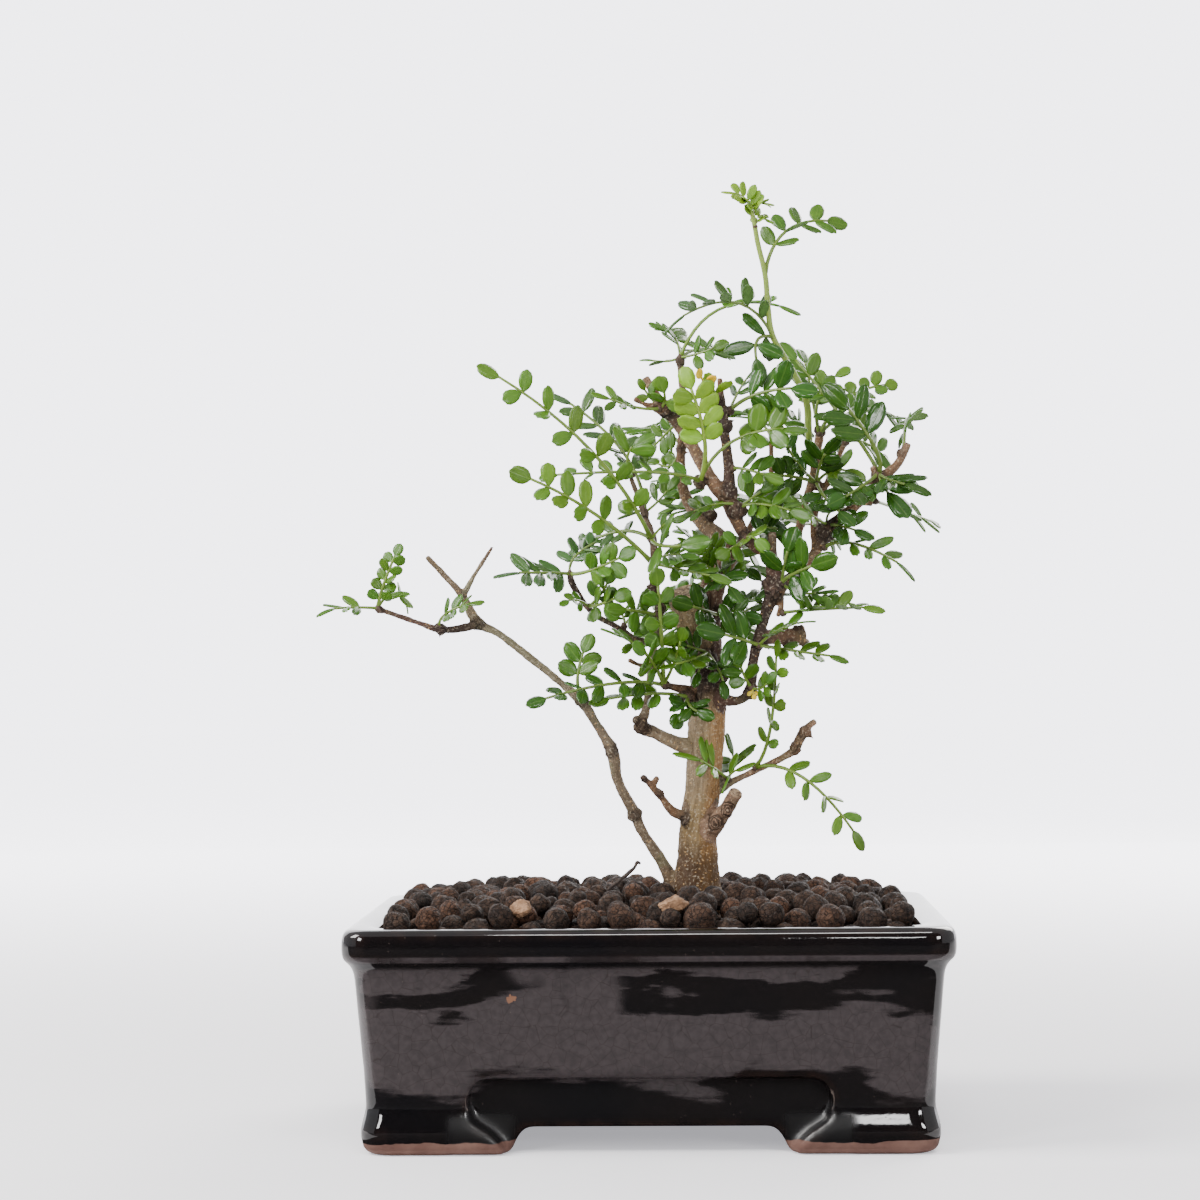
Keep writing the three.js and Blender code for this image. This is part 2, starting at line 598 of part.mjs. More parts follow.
  darkTwigLow: {
    bud: [-8.6, 172.4, -4.6],
    leaves: [[[-9, 176, -3], [-13, 181, 2], 2, 7, 3.4, 30, 12, 0.2]],
  },
  trunkTopFront: {
    bud: [24.6, 190, -1],
    leaves: [
      [[25.5, 189, -15], [32.5, 181, -26], 2, 11, 5.4, 8, 12, 0.2],
      [[20.5, 193, -9], [14.5, 197.4, -14], 2, 7.6, 4, 10, 12, 0.3],
      [[28.5, 190, -8], [34, 194.5, -13], 1, 7.4, 4.6, 12, 12, 0.2],
    ],
  },
  trunkMiddleFront: {
    bud: [24, 176, -3.4],
    leaves: [
      [[30, 176, -10], [39.5, 174, -14], 2, 8, 4.2, 15, 12, 0.2],
      [[17, 178.4, -18], [8.5, 181, -23], 2, 9, 4.6, 15, 12, 0.3],
    ],
  },
  trunkLowFront: {
    bud: [20.4, 163, -7],
    leaves: [
      [[14, 165, -12], [7.5, 168, -14], 2, 7.4, 4.8, 10, 12, 0.25],
      [[24.6, 156, -14], [27.4, 147.4, -20], 2, 7.4, 3.6, 35, 12, 0.25],
      [[17.8, 157.5, -14], [15.4, 151, -18], 1, 6.6, 3.2, 30, 12, 0.25],
    ],
  },
  forkStem: {
    bud: [34.4, 202.6, -11.6],
    leaves: [
      [[38, 202, -18], [44, 197, -25], 1, 7.6, 4.4, 10, 12, 0.2],
      [[30, 199.5, -15], [24.6, 196.4, -20], 1, 6.4, 4.6, 5, 12, 0.3],
    ],
  },
  forkStemTop: {
    bud: [32.4, 213.4, -9],
    leaves: [
      [[42, 214, -15], [57, 209.4, -20], 4, 8.6, 4, 35, 12, 0.15],
      [[38, 217.6, -12], [46, 223, -16], 1, 9, 4, 15, 12, 0.25],
      [[24, 214.4, -10], [10, 209.4, -8], 3, 7.6, 3, 60, 12, 0.25],
    ],
  },
  crownBackLow: {
    bud: [19.4, 209.4, 14],
    leaves: [
      [[14, 213, 28], [4, 212, 46], 5, 8.4, 4.2, 62, 12, 0.2],
      [[26, 215, 28], [36, 217, 44], 4, 8.4, 4.2, 62, 12, 0.2],
    ],
  },
  trunkTopBack: {
    bud: [24, 190, 9.6],
    leaves: [
      [[16, 195, 24], [4, 194, 42], 4, 8.8, 4.4, 62, 12, 0.2],
      [[32, 193, 26], [44, 190, 46], 5, 8.6, 4.2, 62, 12, 0.2],
    ],
  },
  trunkLowBack: {
    bud: [20.4, 168, 8],
    leaves: [
      [[10, 172, 20], [-6, 168, 36], 4, 8.8, 4.4, 62, 12, 0.2],
      [[30, 171, 20], [46, 166, 36], 4, 8.6, 4.2, 62, 12, 0.2],
    ],
  },
  innerLow: {
    bud: [53.6, 207, 12.4],
    leaves: [
      [[60, 206, 28], [68, 199, 44], 4, 8.6, 4.2, 62, 12, 0.2],
      [[47, 208, 28], [42, 203, 44], 4, 8.4, 4.2, 62, 12, 0.2],
    ],
  },
};

// The lead shoot is a soft green stem that carries the two highest leaves and the folded young ones.
const LEAD_SHOOT = [
  [56.8, 229.5, 20.5], [56.4, 240, 15], [55.8, 250, 11], [52.5, 258, 8], [48, 266, 5.5], [44.2, 273.4, 4],
  [42.8, 283, 3], [42, 294, 2], [39.4, 306, 1], [38.4, 312, 0], [37, 318.4, -1],
];
const LEAD_SHOOT_LEAVES = [
  { bud: [44, 273.6, 4], leaf: [[29, 285.2, -2], [5.5, 275.4, -8], 5, 10.4, 3.6, 80, 40, 0.12] },
  { bud: [44.2, 272.6, 4], leaf: [[38.4, 270, -5], [41, 256, -10], 2, 11, 4.8, 20, 10, 0.1] },
  { bud: [42, 295.5, 2], leaf: [[51.5, 311, 8], [71.2, 311.6, 18], 4, 9.8, 3.8, 66, 34, 0.22] },
  { bud: [38.4, 313, 0], leaf: [[35.5, 321.4, -1], [27.8, 324.4, -4], 3, 4.8, 2.6, 74, 40, 0.3] },
  { bud: [37.6, 316.5, -0.5], leaf: [[40, 318.6, 1], [45, 318, 3], 1, 4, 2.4, 60, 20, 0.2] },
  { bud: [38.6, 311.5, 0], leaf: [[41, 314, 1], [46, 312.2, 3], 1, 3.6, 2.2, 60, 20, 0.3] },
];

// A leaf is one thin arched blade whose outline is cut to the rib between its leaflets.
function leafFrame(bud, via, tip, turn) {
  const start = place(...bud);
  const middle = place(...via);
  const end = place(...tip);
  const bend = middle.clone().multiplyScalar(2).addScaledVector(start, -0.5).addScaledVector(end, -0.5);
  const rib = new THREE.QuadraticBezierCurve3(start, bend, end);
  const towardViewer = new THREE.Vector3(0, -1, 0);
  const angle = THREE.MathUtils.degToRad(turn);
  return {
    length: rib.getLength(),
    at(share) {
      const centre = rib.getPointAt(Math.min(share, 1));
      const along = rib.getTangentAt(Math.min(share, 1));
      const front = towardViewer.clone().addScaledVector(along, -along.dot(towardViewer)).normalize();
      const up = front.clone().cross(along).normalize();
      if (up.z < 0) up.negate();
      const face = front.multiplyScalar(Math.cos(angle)).addScaledVector(up, Math.sin(angle)).normalize();
      const across = face.clone().cross(along).normalize();
      return { centre, face, across };
    },
  };
}

// The outline in the leaf's own measure: distance along the rib, and distance across it. Long leaves get
// fewer, broader leaflets than the real ones have.
function leafOutline(length, realPairs, leafletLength, leafletWidth, bare) {
  const half = STALK_WIDTH / 2;
  const longest = Math.min(leafletLength, 0.62 * length);
  const first = length * Math.max(bare, 0.26);
  const neck = length - longest;
  const pairs = Math.max(1, Math.min(Math.round(realPairs * 0.46), Math.floor((neck - first) / 4.6)));
  const spacing = (neck - first) / pairs;
  const width = pairs > 1 ? Math.min(leafletWidth * 1.15, 0.8 * spacing) : leafletWidth;
  const lean = THREE.MathUtils.degToRad(pairs > 1 ? 56 : 68);
  const side = [[0, half]];
  for (let pair = 0; pair < pairs; pair++) {
    const root = Math.min(first + spacing * pair, neck - 1.4);
    const reach = longest * (0.86 + 0.14 * Math.sin((Math.PI * (pair + 1)) / (pairs + 1)));
    const outward = (t, w) => [
      root + 0.3 + t * reach * Math.cos(lean) - w * Math.sin(lean),
      half + t * reach * Math.sin(lean) + w * Math.cos(lean),
    ];
    const joint = pair === 0 || spacing > 1.5 * width ? [[root - 0.35, half]] : [];
    side.push(...joint, outward(0.76, width / 2), outward(0.98, -0.4 * width), [root + 0.95, half]);
  }
  side.push([length - longest * 0.4, leafletWidth / 2]);
  const mirrored = side.map(([along, across]) => [along, -across]).reverse();
  return [...side, [length, 0], ...mirrored].reverse();
}

function leafSolid(bud, [via, tip, pairs, leafletLength, leafletWidth, turn, fold, bare]) {
  const frame = leafFrame(bud, via, tip, turn);
  const outline = leafOutline(frame.length, pairs, leafletLength, leafletWidth, bare);
  const flat = outline.map(([along, across]) => new THREE.Vector2(along, across));
  const triangles = THREE.ShapeUtils.triangulateShape(flat, []);
  const lift = Math.tan(THREE.MathUtils.degToRad(fold));
  const squeeze = Math.cos(THREE.MathUtils.degToRad(fold));
  const thick = BLADE_THICKNESS / 2;
  const positions = [];
  for (const level of [thick, -thick]) {
    for (const [along, across] of outline) {
      const { centre, face, across: sideways } = frame.at(along / frame.length);
      const beyond = Math.max(along - frame.length, 0);
      const rise = Math.abs(across) * squeeze * lift - beyond * 0.1;
      const point = centre.addScaledVector(sideways, across * squeeze).addScaledVector(face, rise + level);
      positions.push(point.x, point.y, point.z);
    }
  }
  const count = outline.length;
  const faces = [];
  for (const [a, b, c] of triangles) {
    faces.push(a, b, c, a + count, c + count, b + count);
  }
  for (let k = 0; k < count; k++) {
    const next = (k + 1) % count;
    faces.push(k, k + count, next, next, k + count, next + count);
  }
  const geometry = new THREE.BufferGeometry();
  geometry.setAttribute("position", new THREE.Float32BufferAttribute(positions, 3));
  geometry.setIndex(faces);
  const body = solid(geometry);
  if (body.volume() > 0) return body;
  geometry.setIndex(faces.map((_, k) => faces[k - (k % 3) + (2 - (k % 3))]));
  return solid(geometry);
}

function budSolid(bud, radius) {
  const geometry = new THREE.OctahedronGeometry(radius, 0);
  geometry.translate(...place(...bud).toArray());
  return solid(geometry);
}

function sprayBody({ bud, leaves }, wood) {
  const pieces = leaves.map((leaf) => leafSolid(bud, leaf));
  return largestBody(joined([budSolid(bud, 1.7), ...pieces]).subtract(wood));
}

function leadShootBody(wood) {
  const thick = (k) => 1.35 - 0.055 * k;
  const stem = branchSolid(LEAD_SHOOT.map(([x, z, depth], k) => [x, z, depth, thick(k)]), 0);
  const leaves = LEAD_SHOOT_LEAVES.map(({ bud, leaf }) => leafSolid(bud, leaf));
  return largestBody(joined([stem, ...leaves]).subtract(wood));
}

// The soil fills the pot around the roots, and the clay pellets lie on it as one fused bed.

function mound(x, y) {
  const acrossX = 1 - (x / 88) ** 2;
  const acrossY = 1 - ((y - 6) / 70) ** 2;
  return Math.max(acrossX, 0) * Math.max(acrossY, 0);
}

function fillRing(inset, z, radius) {
  return roundedRing(RIM_WIDTH + inset, z, radius, 3);
}

function soilBody(wood) {
  const rings = [
    fillRing(2.5 + GAP * 2, FLOOR_TOP + MESH_THICKNESS + GAP * 2, 4),
    fillRing(1 + GAP * 2, 62, 4),
    fillRing(0.8 + GAP * 2, SOIL_TOP, 4),
  ];
  return solid(loft(rings)).subtract(wood);
}

// Pellets stand in staggered rows. Each is a six-sided dome between the low points that it shares with the
// pellets round it, and the low points at the wall lie on the wall.
function pelletBed(wood) {
  const random = randomStream(7);
  const columns = Math.round((POT_LENGTH - 2 * RIM_WIDTH) / PELLET_PITCH);
  const rows = Math.round((POT_WIDTH - 2 * RIM_WIDTH) / (PELLET_PITCH * 0.866));
  const wallX = POT_LENGTH / 2 - RIM_WIDTH - 3 * GAP;
  const wallY = POT_WIDTH / 2 - RIM_WIDTH - 3 * GAP;
  const wallCorner = 5;
  const stepX = (2 * wallX) / (columns + 0.25);
  const stepY = (2 * wallY) / rows;
  const radius = stepX / 2;
  const floor = SOIL_TOP + GAP;
  const tops = new Map();
  const top = (column, row) => {
    const key = `${column},${row}`;
    if (!tops.has(key)) {
      const inside = column > 0 && row > 0 && column < columns - 1 && row < rows - 1;
      const shift = () => (inside ? (random() - 0.5) * 0.22 * stepX : 0);
      const shiftedColumn = column - (columns - 1) / 2 + (row % 2 === 0 ? -0.25 : 0.25);
      const x = shiftedColumn * stepX + shift();
      const y = (row - (rows - 1) / 2) * stepY + shift();
      const z = PELLET_TOP + PELLET_MOUND * mound(x, y) + (random() - 0.5) * PELLET_UNEVENNESS;
      tops.set(key, new THREE.Vector3(x, y, z));
    }
    return tops.get(key);
  };
  const vertices = [];
  const indexOf = new Map();
  const vertex = (point) => {
    const key = point.toArray().map((v) => v.toFixed(3)).join(",");
    if (!indexOf.has(key)) {
      indexOf.set(key, vertices.length);
      vertices.push(point);
    }
    return indexOf.get(key);
  };
  const inBed = ([column, row]) => column >= 0 && row >= 0 && column < columns && row < rows;
  const lowPoint = (cells) => {
    const point = cells.reduce((sum, cell) => sum.add(top(...cell)), new THREE.Vector3()).divideScalar(3);
    const atWall = !cells.every(inBed) || Math.abs(point.x) > wallX || Math.abs(point.y) > wallY;
    if (!cells.every(inBed)) {
      const outX = cells.some(([column]) => column < 0 || column >= columns);
      const outY = cells.some(([, row]) => row < 0 || row >= rows);
      if (outX) point.x = Math.sign(point.x) * wallX;
      if (outY) point.y = Math.sign(point.y) * wallY;
    }
    point.z = atWall ? PELLET_WALL_TOP : point.z - 0.85 * radius;
    const pastX = Math.abs(point.x) - wallX + wallCorner;
    const pastY = Math.abs(point.y) - wallY + wallCorner;
    const past = Math.hypot(pastX, pastY);
    if (pastX > 0 && pastY > 0 && past > wallCorner) {
      point.x -= Math.sign(point.x) * pastX * (1 - wallCorner / past);
      point.y -= Math.sign(point.y) * pastY * (1 - wallCorner / past);
    }
    return point;
  };
  const faces = [];
  const face = (a, b, c) => {
    if (a !== b && b !== c && c !== a) faces.push([a, b, c]);
  };
  for (let row = 0; row < rows; row++) {
    for (let column = 0; column < columns; column++) {
      const odd = row % 2 === 0 ? -1 : 0;
      const around = [
        [column + 1, row], [column + 1 + odd, row + 1], [column + odd, row + 1],
        [column - 1, row], [column + odd, row - 1], [column + 1 + odd, row - 1],
      ];
      const crown = top(column, row);
      const low = around.map((cell, k) => lowPoint([[column, row], cell, around[(k + 1) % 6]]));
      const ring = low.map((point) => {
        const shoulder = crown.clone().lerp(point, 0.62);
        shoulder.z = crown.z - 0.28 * radius;
        return shoulder;
      });
      for (let k = 0; k < 6; k++) {
        const next = (k + 1) % 6;
        const [lowHere, lowNext] = [vertex(low[k]), vertex(low[next])];
        const [ringHere, ringNext] = [vertex(ring[k]), vertex(ring[next])];
        face(vertex(crown), ringHere, ringNext);
        face(ringHere, lowHere, lowNext);
        face(ringHere, lowNext, ringNext);
      }
    }
  }
  const edges = new Set(faces.flatMap(([a, b, c]) => [`${a},${b}`, `${b},${c}`, `${c},${a}`]));
  const middle = vertex(new THREE.Vector3(0, 0, floor));
  const onFloor = (index) => vertex(vertices[index].clone().setZ(floor));
  for (const edge of edges) {
    const [a, b] = edge.split(",").map(Number);
    if (edges.has(`${b},${a}`)) continue;
    face(b, a, onFloor(a));
    face(b, onFloor(a), onFloor(b));
    face(onFloor(b), onFloor(a), middle);
  }
  const geometry = new THREE.BufferGeometry();
  geometry.setAttribute("position", new THREE.Float32BufferAttribute(vertices.flatMap((v) => v.toArray()), 3));
  geometry.setIndex(faces.flat());
  return largestBody(solid(geometry).subtract(wood));
}

// Loose pieces on the pellets: a thin dry twig and two broken stones, each bedded in the pellets under it.
const DRY_TWIG = [[-14, 81.4, -12, 1], [-10, 84.6, -10, 0.9], [-4.6, 89.8, -7, 0.8]];
const OCHRE_STONE = { centre: [8, -53, 78], size: 4.4, turn: 0.5 };
const TAN_STONE = { centre: [-42, -54, 77.5], size: 3.8, turn: 1.6 };

function dryTwig(bed) {
  return largestBody(branchSolid(DRY_TWIG, 0).subtract(bed));
}

function brokenStone({ centre, size, turn }, bed) {
  const geometry = new THREE.IcosahedronGeometry(size, 0);
  geometry.scale(1.15, 0.8, 0.75);
  geometry.rotateZ(turn);
  geometry.translate(...centre);
  return largestBody(solid(geometry).subtract(bed));
}

const MATERIALS = {
  glaze: new THREE.MeshStandardMaterial({ color: 0x17161a, roughness: 0.14, metalness: 0 }),
  mesh: new THREE.MeshStandardMaterial({ color: 0x202022, roughness: 0.6, metalness: 0 }),
  soil: new THREE.MeshStandardMaterial({ color: 0x3a2c22, roughness: 0.95, metalness: 0 }),
  pellet: new THREE.MeshStandardMaterial({ color: 0x453a36, roughness: 0.85, metalness: 0 }),
  stone: new THREE.MeshStandardMaterial({ color: 0xb08a5c, roughness: 0.9, metalness: 0 }),
  bark: new THREE.MeshStandardMaterial({ color: 0x83694c, roughness: 0.8, metalness: 0 }),
  leaf: new THREE.MeshStandardMaterial({ color: 0x3f7d22, roughness: 0.4, metalness: 0 }),
  youngLeaf: new THREE.MeshStandardMaterial({ color: 0x93b83e, roughness: 0.45, metalness: 0 }),
};

const bonsai = new THREE.Group();

function addPart(name, body, material) {
  const mesh = new THREE.Mesh(toGeometry(body), material);
  mesh.name = name;
  bonsai.add(mesh);
}

const wood = woodBody(0);
const clearance = woodBody(GAP);

addPart("pot", potBody(), MATERIALS.glaze);
addPart("drain_mesh_left", drainMesh(-DRAIN_OFFSET), MATERIALS.mesh);
addPart("drain_mesh_right", drainMesh(DRAIN_OFFSET), MATERIALS.mesh);
addPart("soil", soilBody(clearance), MATERIALS.soil);
const pellets = pelletBed(clearance);
const bed = pellets.translate(0, 0, GAP);
addPart("clay_pellets", pellets, MATERIALS.pellet);
addPart("dry_twig", dryTwig(bed), MATERIALS.bark);
addPart("stone_ochre", brokenStone(OCHRE_STONE, bed), MATERIALS.stone);
addPart("stone_tan", brokenStone(TAN_STONE, bed), MATERIALS.stone);
addPart("wood", wood, MATERIALS.bark);
addPart("lead_shoot", leadShootBody(clearance), MATERIALS.youngLeaf);
for (const [name, spray] of Object.entries(SPRAYS)) {
  const plain = name.replace(/[A-Z]/g, (letter) => `_${letter.toLowerCase()}`);
  addPart(`spray_${plain}`, sprayBody(spray, clearance), MATERIALS.leaf);
}

export default bonsai;
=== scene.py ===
import math
import random

import bmesh
import bpy
import numpy as np
from mathutils import Matrix, Quaternion, Vector, kdtree, noise


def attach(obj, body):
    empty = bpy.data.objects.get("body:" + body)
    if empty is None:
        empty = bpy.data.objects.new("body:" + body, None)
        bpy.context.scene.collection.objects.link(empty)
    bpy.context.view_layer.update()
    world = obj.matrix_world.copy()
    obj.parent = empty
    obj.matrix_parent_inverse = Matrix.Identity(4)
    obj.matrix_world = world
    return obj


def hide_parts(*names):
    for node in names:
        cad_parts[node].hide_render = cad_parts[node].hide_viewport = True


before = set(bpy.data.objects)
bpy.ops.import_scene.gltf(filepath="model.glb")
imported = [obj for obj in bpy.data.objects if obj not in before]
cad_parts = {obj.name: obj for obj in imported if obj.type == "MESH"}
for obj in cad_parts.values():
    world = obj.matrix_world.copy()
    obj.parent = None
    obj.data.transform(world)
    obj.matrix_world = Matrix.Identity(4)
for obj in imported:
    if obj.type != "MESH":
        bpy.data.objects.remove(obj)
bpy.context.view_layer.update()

# The view: a long lens about a metre in front of the pot, 85 mm above its rim and nearly level. The same eye
# is used below to set the twigs and leaves at their depths.
EYE = Vector((0.0178, -0.9912, 0.1588))
SWING_DEGREES, TILT_DEGREES, ROLL_DEGREES = 2.0, 91.31, -0.54
SENSOR_WIDTH_MM, LENS_MM = 36, 85.3
view_turn = (Matrix.Rotation(math.radians(SWING_DEGREES), 4, "Z")
             @ Matrix.Rotation(math.radians(TILT_DEGREES), 4, "X"))
view_roll = Matrix.Rotation(math.radians(ROLL_DEGREES), 4, "Z")
bpy.ops.object.camera_add()
camera = bpy.context.object
camera.name = "front_view"
camera.matrix_world = Matrix.Translation(EYE) @ view_turn @ view_roll
camera.data.sensor_width = SENSOR_WIDTH_MM
camera.data.lens = LENS_MM
camera.data.clip_start = 0.02
bpy.context.scene.camera = camera

# The studio: a pale matt floor, a bright soft surround, a broad lamp high on the left, a lamp behind on the
# right, and three small panes and a strip in front that give the glaze its sharp highlights. The camera sees
# none of the lamps.
BACKDROP_WHITE = (0.92, 0.915, 0.98, 1)
FLOOR_GLOW, BACKDROP_GLOW = 4.1, 4.8
bpy.ops.object.select_all(action="DESELECT")
bpy.ops.mesh.primitive_circle_add(vertices=64, radius=6, fill_type="NGON", location=(0, 0, 0))
floor = bpy.context.object
floor.name = "studio_floor"
floor_paint = bpy.data.materials.new("floor_paint")
floor_paint.use_nodes = True
paint = floor_paint.node_tree.nodes["Principled BSDF"]
paint.inputs["Base Color"].default_value = (0.82, 0.81, 0.83, 1)
paint.inputs["Roughness"].default_value = 0.9
floor_nodes, floor_links = floor_paint.node_tree.nodes, floor_paint.node_tree.links
looked_at = floor_nodes.new("ShaderNodeLightPath")
from_pot = floor_nodes.new("ShaderNodeVectorMath")
from_pot.operation = "LENGTH"
far_off = floor_nodes.new("ShaderNodeMapRange")
far_off.interpolation_type = "SMOOTHSTEP"
far_off.inputs["From Min"].default_value = 0.15
far_off.inputs["From Max"].default_value = 1.6
far_off.inputs["To Min"].default_value = 0.12
whitened = floor_nodes.new("ShaderNodeMath")
whitened.operation = "MULTIPLY"
lift = floor_nodes.new("ShaderNodeMix")
lift.data_type = "RGBA"
lift.inputs["A"].default_value = (0, 0, 0, 1)
lift.inputs["B"].default_value = BACKDROP_WHITE
floor_links.new(floor_nodes.new("ShaderNodeTexCoord").outputs["Object"], from_pot.inputs[0])
floor_links.new(from_pot.outputs["Value"], far_off.inputs["Value"])
floor_links.new(far_off.outputs["Result"], whitened.inputs[0])
floor_links.new(looked_at.outputs["Is Camera Ray"], whitened.inputs[1])
floor_links.new(whitened.outputs[0], lift.inputs["Factor"])
floor_links.new(lift.outputs["Result"], paint.inputs["Emission Color"])
paint.inputs["Emission Strength"].default_value = FLOOR_GLOW
floor.data.materials.append(floor_paint)

surround = bpy.data.worlds.new("bright_surround")
bpy.context.scene.world = surround
surround.use_nodes = True
sky, sky_links = surround.node_tree.nodes, surround.node_tree.links
sky["Background"].inputs["Color"].default_value = (0.9, 0.9, 0.93, 1)
sky["Background"].inputs["Strength"].default_value = 0.8
backdrop = sky.new("ShaderNodeBackground")
backdrop.inputs["Color"].default_value = BACKDROP_WHITE
backdrop.inputs["Strength"].default_value = BACKDROP_GLOW
seen = sky.new("ShaderNodeLightPath")
split_sky = sky.new("ShaderNodeMixShader")
sky_links.new(seen.outputs["Is Camera Ray"], split_sky.inputs["Fac"])
sky_links.new(sky["Background"].outputs["Background"], split_sky.inputs[1])
sky_links.new(backdrop.outputs["Background"], split_sky.inputs[2])
sky_links.new(split_sky.outputs["Shader"], sky["World Output"].inputs["Surface"])


def lamp(name, place, aim, size, watts, tint):
    """A rectangular lamp that faces its aim and is hidden from the camera."""
    bpy.ops.object.light_add(type="AREA", location=place)
    light = bpy.context.object
    light.name = name
    light.data.shape = "RECTANGLE"
    light.data.size, light.data.size_y = size
    light.data.energy = watts
    light.data.color = tint
    light.rotation_euler = (Vector(aim) - Vector(place)).to_track_quat("-Z", "Y").to_euler()
    light.visible_camera = False


lamp("window_left", (-1.1, -0.35, 1.0), (0, 0, 0.15), (0.7, 0.7), 34, (1.0, 0.98, 0.95))
lamp("lamp_behind", (0.7, 1.1, 0.9), (0, 0, 0.15), (0.9, 0.7), 18, (1.0, 0.97, 0.94))
lamp("pane_right", (0.8, -1.1, 0.34), (0, 0, 0.05), (0.26, 0.2), 5, (1.0, 1.0, 1.0))
lamp("pane_left", (-0.75, -1.0, 0.5), (0, 0, 0.05), (0.22, 0.34), 6, (1.0, 1.0, 1.0))
lamp("strip_above", (0.12, -0.8, 1.05), (0, 0, 0.1), (0.5, 0.16), 6, (1.0, 0.99, 0.97))
lamp("pane_low", (0.152, -1.25, 0.38), (0.08, 0, 0.01), (0.1, 0.06), 0.5, (1.0, 1.0, 1.0))

# A dark cloth lies in front of the pot and hangs up behind the camera, and a dark mat lies under the pot.
# Only mirror-like surfaces catch them, and they keep the glaze black.
def apply_place():
    """Writes the place, turn and size of the new thing into its mesh."""
    bpy.ops.object.transform_apply(location=True, rotation=True, scale=True)


bpy.ops.mesh.primitive_plane_add(size=1, location=(0, -1.095, 0.002))
dark_cloth = bpy.context.object
dark_cloth.name = "dark_cloth"
dark_cloth.scale = (4.6, 2.01, 1)
apply_place()
bpy.ops.object.mode_set(mode="EDIT")
bpy.ops.mesh.select_all(action="DESELECT")
bpy.ops.object.mode_set(mode="OBJECT")
far_edge = min(dark_cloth.data.edges, key=lambda e: sum(dark_cloth.data.vertices[v].co.y for v in e.vertices))
far_edge.select = True
bpy.ops.object.mode_set(mode="EDIT")
bpy.ops.mesh.extrude_edges_move(TRANSFORM_OT_translate={"value": (0, 0, 2.0)})
bpy.ops.object.mode_set(mode="OBJECT")
cloth_black = bpy.data.materials.new("cloth_black")
cloth_black.use_nodes = True
cloth_black.node_tree.nodes["Principled BSDF"].inputs["Base Color"].default_value = (0.012, 0.011, 0.012, 1)
cloth_black.node_tree.nodes["Principled BSDF"].inputs["Roughness"].default_value = 1
bpy.ops.object.select_all(action="DESELECT")
bpy.ops.mesh.primitive_plane_add(size=1, location=(0, -0.0075, 0.002))
dark_mat = bpy.context.object
dark_mat.name = "dark_mat"
dark_mat.scale = (0.2, 0.165, 1)
apply_place()
for dark_thing in (dark_cloth, dark_mat):
    dark_thing.data.materials.append(cloth_black)
    dark_thing.visible_camera = False
    dark_thing.visible_diffuse = False
    dark_thing.visible_shadow = False

# A bright card stands behind the pot. It too is caught by mirror-like surfaces alone: it whitens the top of
# the rim and the leaves that are seen edge-on.
bpy.ops.mesh.primitive_plane_add(size=1, location=(0, 1.5, 0.7))
bright_card = bpy.context.object
bright_card.name = "bright_card"
bright_card.rotation_euler.x = math.radians(90)
bright_card.scale = (4.4, 1.4, 1)
apply_place()
card_white = bpy.data.materials.new("card_white")
card_white.use_nodes = True
card_white.node_tree.nodes["Principled BSDF"].inputs["Emission Color"].default_value = (0.95, 0.95, 1, 1)
card_white.node_tree.nodes["Principled BSDF"].inputs["Emission Strength"].default_value = 2.6
bright_card.data.materials.append(card_white)
bright_card.visible_camera = False
bright_card.visible_diffuse = False
bright_card.visible_shadow = False

# The pot: one piece of stoneware, pressed in a mould as a low tray with a rolled rim, set-back panels over
# the arches between its feet and four corner feet. It is dipped in a thick black glaze down to a line just
# above the ground, and stands on its bare clay soles.
MM = 0.001
POT_HALF_LENGTH = 100 * MM
POT_HALF_WIDTH = 75 * MM
POT_RINGS = [
    (8.4, 0), (7.0, 0.7), (6.0, 2.4), (5.9, 4.2), (5.4, 5.2), (5.3, 8), (7, 15), (6.3, 28), (5.1, 42),
    (3.8, 57.5), (3.5, 59.4), (3, 61), (1.9, 62.3), (0.7, 63.2), (0.1, 64.4), (0, 66.5), (0, 68), (0.1, 71),
    (0.7, 72.8), (2.2, 73.7), (9.4, 73.7), (11.0, 73), (11.9, 71.2), (12.8, 62), (14.3, 14),
]
GLAZE_LINE = 4.3 * MM
PANEL_SETBACK = 11.5
CUTTER_REACH = 20
DRAIN_X = 45 * MM
DRAIN_RADIUS = 8 * MM


def deselect_all():
    if bpy.context.object and bpy.context.object.mode == "EDIT":
        bpy.ops.object.mode_set(mode="OBJECT")
    bpy.ops.object.select_all(action="DESELECT")


def apply_modifiers(piece):
    bpy.context.view_layer.objects.active = piece
    for modifier in list(piece.modifiers):
        bpy.ops.object.modifier_apply(modifier=modifier.name)


deselect_all()
bpy.ops.mesh.primitive_plane_add(size=2, location=(0, 0, 0))
pot = bpy.context.object
pot.name = "glazed_pot"
inset, height = POT_RINGS[0]
half_x, half_y = POT_HALF_LENGTH - inset * MM, POT_HALF_WIDTH - inset * MM
pot.scale = (half_x, half_y, 1)
apply_place()
bpy.ops.object.mode_set(mode="EDIT")
bpy.ops.mesh.select_all(action="SELECT")
bpy.ops.mesh.bevel(offset=8 * MM, segments=6, affect="VERTICES")
for inset, next_height in POT_RINGS[1:]:
    rise = (next_height - height) * MM
    next_x, next_y = POT_HALF_LENGTH - inset * MM, POT_HALF_WIDTH - inset * MM
    bpy.ops.mesh.extrude_region_move(TRANSFORM_OT_translate={"value": (0, 0, rise)})
    bpy.ops.transform.resize(value=(next_x / half_x, next_y / half_y, 1), center_override=(0, 0, 0))
    half_x, half_y, height = next_x, next_y, next_height
bpy.ops.mesh.select_all(action="SELECT")
bpy.ops.mesh.normals_make_consistent(inside=False)
bpy.ops.object.mode_set(mode="OBJECT")


